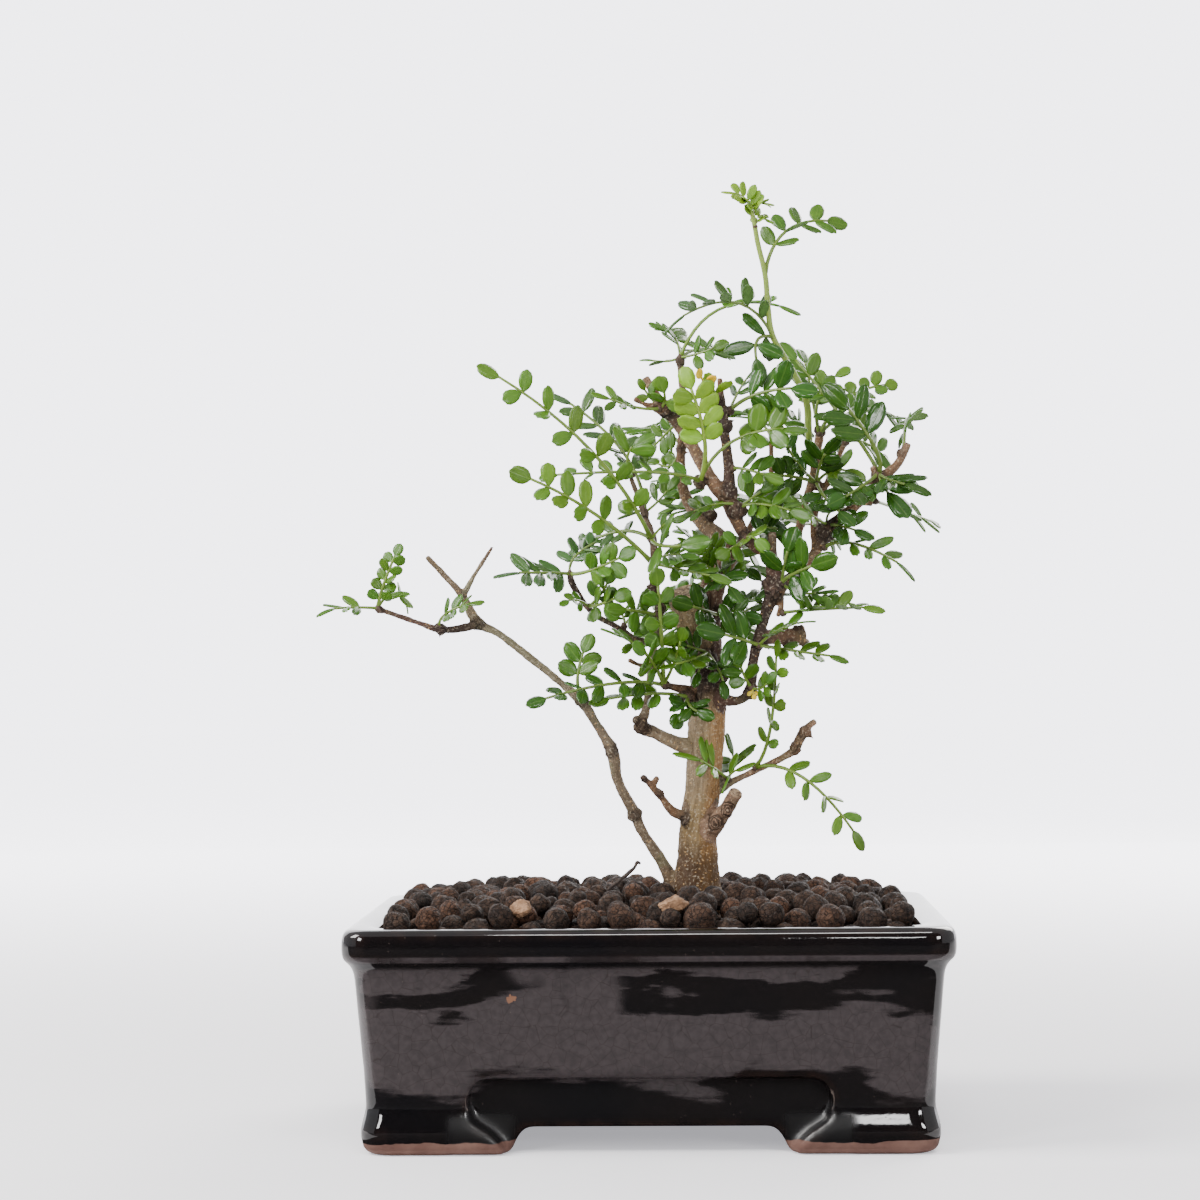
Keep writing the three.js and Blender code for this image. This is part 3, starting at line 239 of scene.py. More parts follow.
def curved_step(outline, via, end, steps=6):
    """Carries an outline on in a curve, drawn towards via, to its end."""
    start = outline[-1]
    for k in range(1, steps + 1):
        t = k / steps
        outline.append(tuple(
            (1 - t) ** 2 * start[i] + 2 * t * (1 - t) * via[i] + t * t * end[i] for i in range(2)))


def panel_outline(top, ground):
    outline = [(ground, -2)]
    curved_step(outline, (ground + 1, 6), (top - 1, 11))
    outline.append((top, 17))
    curved_step(outline, (top, 25), (top - 8, 25))
    return outline


def arch_outline(top, ground):
    outline = [(ground, -2)]
    curved_step(outline, (top + 1, 8.5), (top - 3, 8.5))
    return outline


def cut_side(half_outline, back, reach, quarter):
    """Cuts a straight-sided recess with this outline into one side of the pot, from back outwards."""
    left = [(-x, z) for x, z in reversed(half_outline)]
    outline = half_outline + left
    deselect_all()
    bpy.ops.mesh.primitive_circle_add(vertices=len(outline), radius=1, fill_type="NGON", location=(0, 0, 0))
    cutter = bpy.context.object
    for vertex, (x, z) in zip(cutter.data.vertices, outline):
        vertex.co = (x * MM, -back * MM, z * MM)
    bpy.ops.object.mode_set(mode="EDIT")
    bpy.ops.mesh.select_all(action="SELECT")
    bpy.ops.mesh.extrude_region_move(TRANSFORM_OT_translate={"value": (0, -(reach - back) * MM, 0)})
    bpy.ops.mesh.select_all(action="SELECT")
    bpy.ops.mesh.normals_make_consistent(inside=False)
    bpy.ops.object.mode_set(mode="OBJECT")
    cutter.rotation_euler.z = math.radians(90) * quarter
    apply_place()
    cut_away(cutter)


def cut_away(cutter):
    """Cuts this body out of the pot."""
    cut = pot.modifiers.new("cut", "BOOLEAN")
    cut.operation = "DIFFERENCE"
    cut.solver = "EXACT"
    cut.object = cutter
    apply_modifiers(pot)
    bpy.data.objects.remove(cutter, do_unlink=True)


for quarter in range(4):
    long_side = quarter % 2 == 0
    half_depth = 75 if long_side else 100
    panel_top, arch_top, ground = (59, 42, 46) if long_side else (37, 22, 26)
    reach = half_depth + CUTTER_REACH
    cut_side(panel_outline(panel_top, ground), half_depth - PANEL_SETBACK, reach, quarter)
    cut_side(arch_outline(arch_top, ground), 0, reach, quarter)

deselect_all()
bpy.ops.mesh.primitive_cube_add(size=1, location=(0, 0, 3.25 * MM))
underside = bpy.context.object
underside.scale = (158 * MM, 108 * MM, 10.5 * MM)
apply_place()
corner_bevel = underside.modifiers.new("corners", "BEVEL")
corner_bevel.width = 3 * MM
corner_bevel.segments = 3
apply_modifiers(underside)
cut_away(underside)
for side in (-1, 1):
    deselect_all()
    bpy.ops.mesh.primitive_cylinder_add(vertices=32, radius=DRAIN_RADIUS, depth=14 * MM,
                                        location=(side * DRAIN_X, 0, 11 * MM))
    drain_hole = bpy.context.object
    apply_place()
    cut_away(drain_hole)

# The glaze has flowed over every edge, so the whole body is melted into soft even curves.
melted = pot.modifiers.new("melted", "REMESH")
melted.mode = "VOXEL"
melted.voxel_size = 1.25 * MM
melted.use_smooth_shade = True
flowed = pot.modifiers.new("flowed", "SMOOTH")
flowed.factor = 0.5
flowed.iterations = 5
apply_modifiers(pot)


def write_point_values(piece, name, values):
    layer = piece.data.attributes.new(name, "FLOAT", "POINT")
    layer.data.foreach_set("value", np.asarray(values, np.float32))


# The inner ends of the feet are wiped rounder still before the firing.
foot_ends = pot.vertex_groups.new(name="foot_ends")
wiped_dull = np.zeros(len(pot.data.vertices))
for vertex in pot.data.vertices:
    x, y, z = abs(vertex.co.x) / MM, abs(vertex.co.y) / MM, vertex.co.z / MM
    beside = min(x - 41, 68 - x) if y > 58 else min(y - 21, 48 - y) if x > 83 else 0
    share = min(max(beside / 4, 0), 1) * min(max((15 - z) / 3, 0), 1)
    if share:
        foot_ends.add([vertex.index], share, "REPLACE")
        wiped_dull[vertex.index] = share
write_point_values(pot, "wiped_dull", wiped_dull)
wiped = pot.modifiers.new("wiped", "SMOOTH")
wiped.vertex_group = "foot_ends"
wiped.factor = 0.6
wiped.iterations = 9
apply_modifiers(pot)
pot.vertex_groups.clear()

# Below the pellets the inside wall is hidden, so its mesh is thinned there.
hidden_wall = pot.vertex_groups.new(name="hidden_wall")
inner_points = [v.index for v in pot.data.vertices
                if 12 * MM < v.co.z < 66 * MM and abs(v.co.x) < 90 * MM and abs(v.co.y) < 65 * MM]
hidden_wall.add(inner_points, 1.0, "ADD")
thinned = pot.modifiers.new("thinned", "DECIMATE")
thinned.vertex_group = "hidden_wall"
thinned.ratio = 0.72
apply_modifiers(pot)
pot.vertex_groups.clear()


def outward_bend(piece, spread):
    """How far each point stands out of its neighbours along its normal, evened out over a few rings."""
    mesh = piece.data
    count = len(mesh.vertices)
    places = np.zeros(count * 3)
    mesh.vertices.foreach_get("co", places)
    places = places.reshape(-1, 3)
    normals = np.zeros(count * 3)
    mesh.vertices.foreach_get("normal", normals)
    normals = normals.reshape(-1, 3)
    edges = np.zeros(len(mesh.edges) * 2, int)
    mesh.edges.foreach_get("vertices", edges)
    a, b = edges.reshape(-1, 2).T
    degree = np.bincount(a, minlength=count) + np.bincount(b, minlength=count)
    degree = np.maximum(degree, 1)

    def average(values):
        total = np.zeros_like(values)
        np.add.at(total, a, values[b])
        np.add.at(total, b, values[a])
        return total / (degree[:, None] if values.ndim > 1 else degree)

    bend = ((places - average(places)) * normals).sum(1)
    for _ in range(spread):
        bend = 0.5 * bend + 0.5 * average(bend)
    return bend


write_point_values(pot, "thin_glaze", np.clip(outward_bend(pot, 2) / (0.11 * MM), -1, 1))


def new_finish(name):
    """A new finish: its material, nodes, links and shader, and the place of each point on the piece."""
    finish = bpy.data.materials.new(name)
    finish.use_nodes = True
    nodes = finish.node_tree.nodes
    here = nodes.new("ShaderNodeTexCoord").outputs["Object"]
    return finish, nodes, finish.node_tree.links, nodes["Principled BSDF"], here


def speckle_group():
    """Small round spots scattered over a surface: their mask, at a given number to the metre and size."""
    group = bpy.data.node_groups.new("speckle", "ShaderNodeTree")
    group.interface.new_socket("Vector", in_out="INPUT", socket_type="NodeSocketVector")
    group.interface.new_socket("Density", in_out="INPUT", socket_type="NodeSocketFloat")
    group.interface.new_socket("Size", in_out="INPUT", socket_type="NodeSocketFloat")
    group.interface.new_socket("Mask", in_out="OUTPUT", socket_type="NodeSocketFloat")
    nodes, links = group.nodes, group.links
    entry, leave = nodes.new("NodeGroupInput"), nodes.new("NodeGroupOutput")
    cells = nodes.new("ShaderNodeTexVoronoi")
    edge = nodes.new("ShaderNodeMapRange")
    edge.interpolation_type = "SMOOTHSTEP"
    edge.inputs["To Min"].default_value = 1
    edge.inputs["To Max"].default_value = 0
    inner = nodes.new("ShaderNodeMath")
    inner.operation = "MULTIPLY"
    inner.inputs[1].default_value = 0.6
    links.new(entry.outputs["Vector"], cells.inputs["Vector"])
    links.new(entry.outputs["Density"], cells.inputs["Scale"])
    links.new(entry.outputs["Size"], inner.inputs[0])
    links.new(inner.outputs[0], edge.inputs["From Min"])
    links.new(entry.outputs["Size"], edge.inputs["From Max"])
    links.new(cells.outputs["Distance"], edge.inputs["Value"])
    links.new(edge.outputs["Result"], leave.inputs["Mask"])
    return group


def tint_group():
    """Blends two colours by a mask that is blurred and broken up by a cloudy pattern."""
    group = bpy.data.node_groups.new("cloudy_tint", "ShaderNodeTree")
    for socket, kind in (("Vector", "Vector"), ("Scale", "Float"), ("Amount", "Float"), ("Softness", "Float"),
                         ("Ground", "Color"), ("Cloud", "Color")):
        group.interface.new_socket(socket, in_out="INPUT", socket_type="NodeSocket" + kind)
    group.interface.new_socket("Color", in_out="OUTPUT", socket_type="NodeSocketColor")
    group.interface.new_socket("Mask", in_out="OUTPUT", socket_type="NodeSocketFloat")
    nodes, links = group.nodes, group.links
    entry, leave = nodes.new("NodeGroupInput"), nodes.new("NodeGroupOutput")
    cloud = nodes.new("ShaderNodeTexNoise")
    cloud.inputs["Detail"].default_value = 5
    cloud.inputs["Roughness"].default_value = 0.6
    low, high = nodes.new("ShaderNodeMath"), nodes.new("ShaderNodeMath")
    low.operation, high.operation = "SUBTRACT", "ADD"
    edge = nodes.new("ShaderNodeMapRange")
    mix = nodes.new("ShaderNodeMix")
    mix.data_type = "RGBA"
    turned = nodes.new("ShaderNodeMath")
    turned.operation = "SUBTRACT"
    turned.inputs[0].default_value = 1
    links.new(entry.outputs["Vector"], cloud.inputs["Vector"])
    links.new(entry.outputs["Scale"], cloud.inputs["Scale"])
    links.new(entry.outputs["Amount"], turned.inputs[1])
    links.new(turned.outputs[0], low.inputs[0])
    links.new(entry.outputs["Softness"], low.inputs[1])
    links.new(turned.outputs[0], high.inputs[0])
    links.new(entry.outputs["Softness"], high.inputs[1])
    links.new(low.outputs[0], edge.inputs["From Min"])
    links.new(high.outputs[0], edge.inputs["From Max"])
    links.new(cloud.outputs["Fac"], edge.inputs["Value"])
    links.new(edge.outputs["Result"], mix.inputs["Factor"])
    links.new(entry.outputs["Ground"], mix.inputs["A"])
    links.new(entry.outputs["Cloud"], mix.inputs["B"])
    links.new(mix.outputs["Result"], leave.inputs["Color"])
    links.new(edge.outputs["Result"], leave.inputs["Mask"])
    return group


speckle = speckle_group()
cloudy_tint = tint_group()


def place_group(nodes, links, group, vector, **values):
    node = nodes.new("ShaderNodeGroup")
    node.node_tree = group
    links.new(vector, node.inputs["Vector"])
    for name, value in values.items():
        socket = node.inputs[name.replace("_", " ").title()]
        if isinstance(value, bpy.types.NodeSocket):
            links.new(value, socket)
        else:
            socket.default_value = (*value, 1) if isinstance(value, tuple) and len(value) == 3 else value
    return node


def blend(nodes, links, factor, a, b, kind="MIX"):
    """A Mix node between two colours, each of them a colour or a socket."""
    mix = nodes.new("ShaderNodeMix")
    mix.data_type = "RGBA"
    mix.blend_type = kind
    for value, socket in ((factor, mix.inputs["Factor"]), (a, mix.inputs["A"]), (b, mix.inputs["B"])):
        if isinstance(value, bpy.types.NodeSocket):
            links.new(value, socket)
        else:
            socket.default_value = (*value, 1) if isinstance(value, tuple) else value
    return mix.outputs["Result"]


def graded(nodes, links, value, low, high, to_low=0.0, to_high=1.0):
    """A value carried smoothly from one range to another."""
    grade = nodes.new("ShaderNodeMapRange")
    grade.interpolation_type = "SMOOTHSTEP"
    links.new(value, grade.inputs["Value"])
    for name, number in (("From Min", low), ("From Max", high), ("To Min", to_low), ("To Max", to_high)):
        grade.inputs[name].default_value = number
    return grade.outputs["Result"]


def sum_of(nodes, links, a, b, operation="ADD"):
    sum_node = nodes.new("ShaderNodeMath")
    sum_node.operation = operation
    for value, socket in ((a, sum_node.inputs[0]), (b, sum_node.inputs[1])):
        if isinstance(value, bpy.types.NodeSocket):
            links.new(value, socket)
        else:
            socket.default_value = value
    return sum_node.outputs[0]


def relief(nodes, links, height, strength, depth, under=None):
    bump = nodes.new("ShaderNodeBump")
    bump.inputs["Strength"].default_value = strength
    bump.inputs["Distance"].default_value = depth
    links.new(height, bump.inputs["Height"])
    if under:
        links.new(under, bump.inputs["Normal"])
    return bump.outputs["Normal"]


def cloud(nodes, links, vector, scale, detail=4, stretch=None):
    if stretch:
        mapping = nodes.new("ShaderNodeMapping")
        mapping.inputs["Scale"].default_value = stretch
        links.new(vector, mapping.inputs["Vector"])
        vector = mapping.outputs["Vector"]
    pattern = nodes.new("ShaderNodeTexNoise")
    pattern.inputs["Scale"].default_value = scale
    pattern.inputs["Detail"].default_value = detail
    links.new(vector, pattern.inputs["Vector"])
    return pattern.outputs["Fac"]


def point_value(nodes, name):
    reader = nodes.new("ShaderNodeAttribute")
    reader.attribute_name = name
    return reader.outputs["Fac"]


glaze, nodes, links, shader, here = new_finish("black_glaze_over_red_clay")
split = nodes.new("ShaderNodeSeparateXYZ")
links.new(here, split.inputs["Vector"])
up = split.outputs["Z"]
wavy_line = sum_of(nodes, links, up,
                   graded(nodes, links, cloud(nodes, links, here, 90), 0.3, 0.7, -0.0006, 0.0006))
glazed = graded(nodes, links, wavy_line, GLAZE_LINE - 0.2 * MM, GLAZE_LINE + 0.2 * MM)
thin = point_value(nodes, "thin_glaze")
thin = graded(nodes, links, thin, 0.15, 0.9)
patchy_thin = graded(nodes, links, cloud(nodes, links, here, 160), 0.35, 0.65, 0.2, 1)
thin = sum_of(nodes, links, thin, patchy_thin, "MULTIPLY")
coat_colour = place_group(nodes, links, cloudy_tint, here, scale=14.0, amount=0.45, softness=0.15,
                          ground=(0.003, 0.0028, 0.0034), cloud=(0.0055, 0.0042, 0.004)).outputs["Color"]
coat_colour = blend(nodes, links, thin, coat_colour, (0.011, 0.0065, 0.0055))

# Where the glaze has drawn back from the sharpest edges of the recesses, it leaves a pale broken line.
# This pale line is partly a painted highlight along these edges.
worn_edge_and_painted_highlight = sum_of(nodes, links, graded(nodes, links, point_value(nodes, "thin_glaze"), 0.82, 1.0),
                graded(nodes, links, up, 11 * MM, 13 * MM), "MULTIPLY")
worn_edge_and_painted_highlight = sum_of(nodes, links, worn_edge_and_painted_highlight, graded(nodes, links, up, 29 * MM, 32 * MM, 1, 0), "MULTIPLY")

# A dull brown bloom lies over the middle of the walls, with a ragged edge and clear black gaps.
# Its pale grey film is partly a painted reflection of the bright floor and surround.
ragged = graded(nodes, links, cloud(nodes, links, here, 42, 8, (0.5, 0.5, 1.6)), 0.25, 0.75, -9 * MM, 9 * MM)
ragged_height = sum_of(nodes, links, up, ragged)
feather = cloud(nodes, links, here, 150, 5, (0.3, 0.3, 2.2))
feather = graded(nodes, links, feather, 0.3, 0.7, -2.2 * MM, 2.2 * MM)
ragged_height = sum_of(nodes, links, ragged_height, feather)
bloom_and_painted_reflection = graded(nodes, links, ragged_height, 22.5 * MM, 27 * MM)
bloom_and_painted_reflection = sum_of(nodes, links, bloom_and_painted_reflection, graded(nodes, links, up, 60 * MM, 62 * MM, 1, 0), "MULTIPLY")
clear = sum_of(nodes, links, graded(nodes, links, ragged_height, 45.5 * MM, 49 * MM),
               graded(nodes, links, ragged_height, 56 * MM, 58.5 * MM, 1, 0), "MULTIPLY")
stretches = cloud(nodes, links, here, 11, 5)
clear = sum_of(nodes, links, clear, graded(nodes, links, stretches, 0.43, 0.48), "MULTIPLY")
bloom_and_painted_reflection = sum_of(nodes, links, bloom_and_painted_reflection, clear, "SUBTRACT")
# A patchy grey band painted just under the rim is a painted reflection line.
under_rim_painted_reflection = sum_of(nodes, links, graded(nodes, links, up, 62.8 * MM, 63.4 * MM),
                   graded(nodes, links, up, 64.6 * MM, 65.4 * MM, 1, 0), "MULTIPLY")
patchy_rim = graded(nodes, links, cloud(nodes, links, here, 34, 5), 0.36, 0.5, 0.3, 1)
under_rim_painted_reflection = sum_of(nodes, links, under_rim_painted_reflection, patchy_rim, "MULTIPLY")
bloom_and_painted_reflection = sum_of(nodes, links, bloom_and_painted_reflection, under_rim_painted_reflection, "MAXIMUM")
film_grain = graded(nodes, links, cloud(nodes, links, here, 500, 6), 0.3, 0.7)
# The film's grey colour is partly painted reflection.
film_and_painted_reflection = blend(nodes, links, film_grain, (0.031, 0.0255, 0.0265), (0.039, 0.032, 0.033))
coat_colour = blend(nodes, links, bloom_and_painted_reflection, coat_colour, film_and_painted_reflection)
# The pale edge line, partly painted highlight, is crumbled and laid on the coat.
crumbly = graded(nodes, links, cloud(nodes, links, here, 120, 4), 0.35, 0.6, 0.15, 0.85)
worn_edge_and_painted_highlight = sum_of(nodes, links, worn_edge_and_painted_highlight, crumbly, "MULTIPLY")
coat_colour = blend(nodes, links, worn_edge_and_painted_highlight, coat_colour, (0.1, 0.08, 0.07))

# Fine crackle, small pits, one chip on the front wall and a few pinholes mark the coat.
crackle = nodes.new("ShaderNodeTexVoronoi")
crackle.feature = "DISTANCE_TO_EDGE"
crackle.inputs["Scale"].default_value = 210
links.new(here, crackle.inputs["Vector"])
crackle_lines = graded(nodes, links, crackle.outputs["Distance"], 0.0, 0.025, 0.4, 0)
crackle_lines = sum_of(nodes, links, crackle_lines, bloom_and_painted_reflection, "MULTIPLY")
coat_colour = blend(nodes, links, crackle_lines, coat_colour, (0.012, 0.007, 0.006))
chips = place_group(nodes, links, speckle, here, density=48.0, size=0.035).outputs["Mask"]
coat_colour = blend(nodes, links, chips, coat_colour, (0.13, 0.06, 0.035))
from_chip = nodes.new("ShaderNodeVectorMath")
from_chip.operation = "DISTANCE"
links.new(here, from_chip.inputs[0])
CHIP_PLACE = (-44.4 * MM, -71 * MM, 51 * MM)
from_chip.inputs[1].default_value = CHIP_PLACE
crumbled = graded(nodes, links, cloud(nodes, links, here, 700, 4), 0.3, 0.7, -0.6 * MM, 0.6 * MM)
chip_edge = sum_of(nodes, links, from_chip.outputs["Value"], crumbled)
chipped = graded(nodes, links, chip_edge, 1.2 * MM, 1.5 * MM, 1, 0)
coat_colour = blend(nodes, links, chipped, coat_colour, (0.15, 0.072, 0.043))
pinholes = place_group(nodes, links, speckle, here, density=420.0, size=0.09).outputs["Mask"]
rare = graded(nodes, links, cloud(nodes, links, here, 60), 0.5, 0.62)
pinholes = sum_of(nodes, links, pinholes, rare, "MULTIPLY")
faint_pinholes = sum_of(nodes, links, pinholes, 0.5, "MULTIPLY")
coat_colour = blend(nodes, links, faint_pinholes, coat_colour, (0.09, 0.07, 0.06))

# Below the glaze line the red clay is bare and matt.
clay_colour = place_group(nodes, links, cloudy_tint, here, scale=120.0, amount=0.5, softness=0.2,
                          ground=(0.085, 0.034, 0.023), cloud=(0.14, 0.07, 0.05)).outputs["Color"]
links.new(blend(nodes, links, glazed, clay_colour, coat_colour), shader.inputs["Base Color"])
gloss = graded(nodes, links, cloud(nodes, links, here, 45, 6), 0.35, 0.75, 0.03, 0.08)
gloss = sum_of(nodes, links, gloss, sum_of(nodes, links, bloom_and_painted_reflection, 0.16, "MULTIPLY"))
gloss = sum_of(nodes, links, gloss, sum_of(nodes, links, point_value(nodes, "wiped_dull"), 0.32, "MULTIPLY"))
rough = nodes.new("ShaderNodeMix")
links.new(glazed, rough.inputs["Factor"])
rough.inputs["A"].default_value = 0.8
links.new(gloss, rough.inputs["B"])
links.new(rough.outputs["Result"], shader.inputs["Roughness"])
shader.inputs["IOR"].default_value = 1.56
swell = cloud(nodes, links, here, 26, 2)
fine_relief = sum_of(nodes, links, cloud(nodes, links, here, 900, 3), pinholes, "SUBTRACT")
normal = relief(nodes, links, swell, 0.35, 1.2 * MM)
normal = relief(nodes, links, fine_relief, 0.05, 0.25 * MM, normal)
links.new(normal, shader.inputs["Normal"])
pot.data.materials.append(glaze)
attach(pot, "root")
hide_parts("pot")

# The drainage mesh: a square of woven black plastic net over each drain hole. It is cut from a sheet and
# lies loose on the pot's floor under the soil.
MESH_CELLS = 14


def uneven_roughness(nodes, links, shader, vector, scale, low, high):
    """A roughness that wanders between two values over the surface."""
    wander = graded(nodes, links, cloud(nodes, links, vector, scale), 0.3, 0.7, low, high)
    links.new(wander, shader.inputs["Roughness"])


net_finish, nodes, links, shader, here = new_finish("black_net")
links.new(place_group(nodes, links, cloudy_tint, here, scale=300.0, amount=0.4, softness=0.2,
                      ground=(0.012, 0.012, 0.013), cloud=(0.05, 0.045, 0.04)).outputs["Color"],
          shader.inputs["Base Color"])
uneven_roughness(nodes, links, shader, here, 500, 0.45, 0.7)
for side, node in ((-1, "drain_mesh_left"), (1, "drain_mesh_right")):
    deselect_all()
    bpy.ops.mesh.primitive_grid_add(x_subdivisions=MESH_CELLS, y_subdivisions=MESH_CELLS, size=25 * MM,
                                    location=(side * DRAIN_X, 0, 14.9 * MM))
    net = bpy.context.object
    net.name = "woven_net_left" if side < 0 else "woven_net_right"
    apply_place()
    for k, vertex in enumerate(net.data.vertices):
        over = (k % (MESH_CELLS + 1) + k // (MESH_CELLS + 1)) % 2
        vertex.co.z += (0.12 if over else -0.12) * MM
    strands = net.modifiers.new("strands", "WIREFRAME")
    strands.thickness = 0.55 * MM
    apply_modifiers(net)
    net.data.materials.append(net_finish)
    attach(net, "root")
    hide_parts(node)

# The soil: a dark crumbly filling of peat and bark round the roots, pressed into the pot by hand. It shows
# only through the net.
soil_finish, nodes, links, shader, here = new_finish("dark_crumbly_soil")
links.new(place_group(nodes, links, cloudy_tint, here, scale=450.0, amount=0.5, softness=0.12,
                      ground=(0.022, 0.014, 0.009), cloud=(0.09, 0.055, 0.035)).outputs["Color"],
          shader.inputs["Base Color"])
uneven_roughness(nodes, links, shader, here, 200, 0.8, 1.0)
links.new(relief(nodes, links, cloud(nodes, links, here, 380, 8), 1.0, 1.5 * MM), shader.inputs["Normal"])
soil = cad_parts["soil"]
soil.data.materials.clear()
soil.data.materials.append(soil_finish)

# The clay pellets: round fired pellets poured over the soil to keep it damp. They have rolled into a low
# heap against the trunk, each touching its neighbours, and about two layers deep.
random.seed(11)
BED_HALF_X, BED_HALF_Y = 87.6, 62.6
BED_FLOOR = 65.2
HEAP_EDGE, HEAP_RISE = 79.6, 5.0
PELLET_RADII = (3.6, 4.1, 4.4, 4.7, 4.9, 5.1, 5.5)
FIRST_ROLL, LAST_ROLL = 2.4, 0.25
ROLL_WAYS = (0.3, 1.35, 2.4, 3.44, 4.49, 5.54)
MOST_MISSES = 420
STEMS = [((16.0, 0.5), 9.2), ((6.6, 3.0), 3.4), ((11.5, 2.5), 4.4)]


def heap_top(x, y):
    """The height of the heap at a place."""
    across_x = max(1 - (x / 88) ** 2, 0)
    across_y = max(1 - ((y - 6) / 70) ** 2, 0)
    return HEAP_EDGE + HEAP_RISE * across_x * across_y


def resting_height(x, y, radius, placed):
    """How high a pellet's middle lies when it rests at this place on the others."""
    if not len(placed):
        return BED_FLOOR + radius
    apart = (placed[:, 0] - x) ** 2 + (placed[:, 1] - y) ** 2
    reach = (placed[:, 3] + radius) ** 2
    near = apart < reach
    if not near.any():
        return BED_FLOOR + radius
    return max(BED_FLOOR + radius, float((placed[near, 2] + np.sqrt(reach[near] - apart[near])).max()))


def kept_inside(x, y, radius):
    """A place near this one, within the walls and clear of the stems."""
    x = min(max(x, -BED_HALF_X + radius), BED_HALF_X - radius)
    y = min(max(y, -BED_HALF_Y + radius), BED_HALF_Y - radius)
    for (stem_x, stem_y), stem_radius in STEMS:
        away = Vector((x - stem_x, y - stem_y))
        if away.length < stem_radius + radius:
            away = away.normalized() * (stem_radius + radius) if away.length else Vector((radius, 0))
            x, y = stem_x + away.x, stem_y + away.y
    return x, y


def shade_smooth(mesh):
    for polygon in mesh.polygons:
        polygon.use_smooth = True


settled = np.zeros((0, 4))
misses = 0
while misses < MOST_MISSES:
    radius = random.choice(PELLET_RADII) + random.uniform(-0.2, 0.2)
    dropped_at = random.uniform(-BED_HALF_X, BED_HALF_X), random.uniform(-BED_HALF_Y, BED_HALF_Y)
    x, y = kept_inside(*dropped_at, radius)
    z = resting_height(x, y, radius, settled)
    step = FIRST_ROLL
    while step > LAST_ROLL:
        tries = [kept_inside(x + step * math.cos(a), y + step * math.sin(a), radius)
                 for a in ROLL_WAYS]
        lowest = min(((resting_height(tx, ty, radius, settled), tx, ty) for tx, ty in tries))
        if lowest[0] < z - 0.02:
            z, x, y = lowest
        else:
            step *= 0.5
    if z + radius > heap_top(x, y) + 1.2:
        misses += 1
        continue
    settled = np.vstack([settled, (x, y, z, radius)])

pellet_shapes = []
for shape in range(4):
    deselect_all()
    bpy.ops.mesh.primitive_cube_add(size=1, location=(0, 0, 0))
    pellet = bpy.context.object
    bpy.ops.object.mode_set(mode="EDIT")
    bpy.ops.mesh.select_all(action="SELECT")
    bpy.ops.mesh.subdivide(number_cuts=3)
    bpy.ops.transform.tosphere(value=1)
    bpy.ops.object.mode_set(mode="OBJECT")
    for vertex in pellet.data.vertices:
        out = vertex.co.normalized()
        lump = noise.noise(out * 1.1 + Vector((shape * 7, 0, 0))) * 0.16
        pit = noise.noise(out * 3.1 + Vector((0, shape * 5, 3))) * 0.07
        vertex.co = out * (1 + lump + pit)
    pellet.data.attributes.new("redness", "FLOAT", "POINT")
    pellet_shapes.append(pellet)

heap = bmesh.new()
for x, y, z, radius in settled:
    pattern = random.choice(pellet_shapes).data
    first = len(heap.verts)
    heap.from_mesh(pattern)
    heap.verts.ensure_lookup_table()
    fresh = heap.verts[first:]
    axis = (random.random() - 0.5, random.random() - 0.5, random.random() - 0.5)
    turn = Quaternion(axis, random.uniform(0, 6))
    size = Matrix.Diagonal((*[radius * MM * random.uniform(0.94, 1.04) for _ in range(3)], 1))
    settle = Matrix.Translation((x * MM, y * MM, z * MM)) @ turn.to_matrix().to_4x4() @ size
    bmesh.ops.transform(heap, matrix=settle, verts=fresh)
    redness = heap.verts.layers.float["redness"]
    tone = random.random()
    for vertex in fresh:
        vertex[redness] = tone
pellets = pellet_shapes[0]
for spare in pellet_shapes[1:]:
    bpy.data.objects.remove(spare, do_unlink=True)
heap.to_mesh(pellets.data)
heap.free()
pellets.name = "clay_pellets_heap"
shade_smooth(pellets.data)

pellet_finish, nodes, links, shader, here = new_finish("fired_clay_skin")
tone = point_value(nodes, "redness")
grey_skin = place_group(nodes, links, cloudy_tint, here, scale=330.0, amount=0.45, softness=0.16,
                        ground=(0.016, 0.009, 0.0065), cloud=(0.064, 0.037, 0.024)).outputs["Color"]
red_skin = place_group(nodes, links, cloudy_tint, here, scale=330.0, amount=0.5, softness=0.16,
                       ground=(0.034, 0.016, 0.009), cloud=(0.1, 0.048, 0.028)).outputs["Color"]
skin = blend(nodes, links, graded(nodes, links, tone, 0.62, 0.92), grey_skin, red_skin)
skin = blend(nodes, links, graded(nodes, links, tone, 0.0, 0.25, 0.55, 0.0), skin, (0.012, 0.009, 0.008))
cracks = nodes.new("ShaderNodeTexVoronoi")
cracks.feature = "DISTANCE_TO_EDGE"
cracks.inputs["Scale"].default_value = 620
warp = blend(nodes, links, 0.006, here, nodes.new("ShaderNodeTexNoise").outputs["Color"], "ADD")
links.new(warp, cracks.inputs["Vector"])
crack_mask = graded(nodes, links, cracks.outputs["Distance"], 0.0, 0.09, 1, 0)
skin = blend(nodes, links, sum_of(nodes, links, crack_mask, 0.75, "MULTIPLY"), skin, (0.006, 0.004, 0.003))
dust = place_group(nodes, links, speckle, here, density=1500.0, size=0.22).outputs["Mask"]
skin = blend(nodes, links, sum_of(nodes, links, dust, 0.35, "MULTIPLY"), skin, (0.11, 0.078, 0.06))
links.new(skin, shader.inputs["Base Color"])
uneven_roughness(nodes, links, shader, here, 700, 0.6, 0.95)
skin_grain = cloud(nodes, links, here, 900, 6)
deep_cracks = sum_of(nodes, links, crack_mask, 0.6, "MULTIPLY")
skin_height = sum_of(nodes, links, skin_grain, deep_cracks, "SUBTRACT")
links.new(relief(nodes, links, skin_height, 1.0, 1.2 * MM), shader.inputs["Normal"])
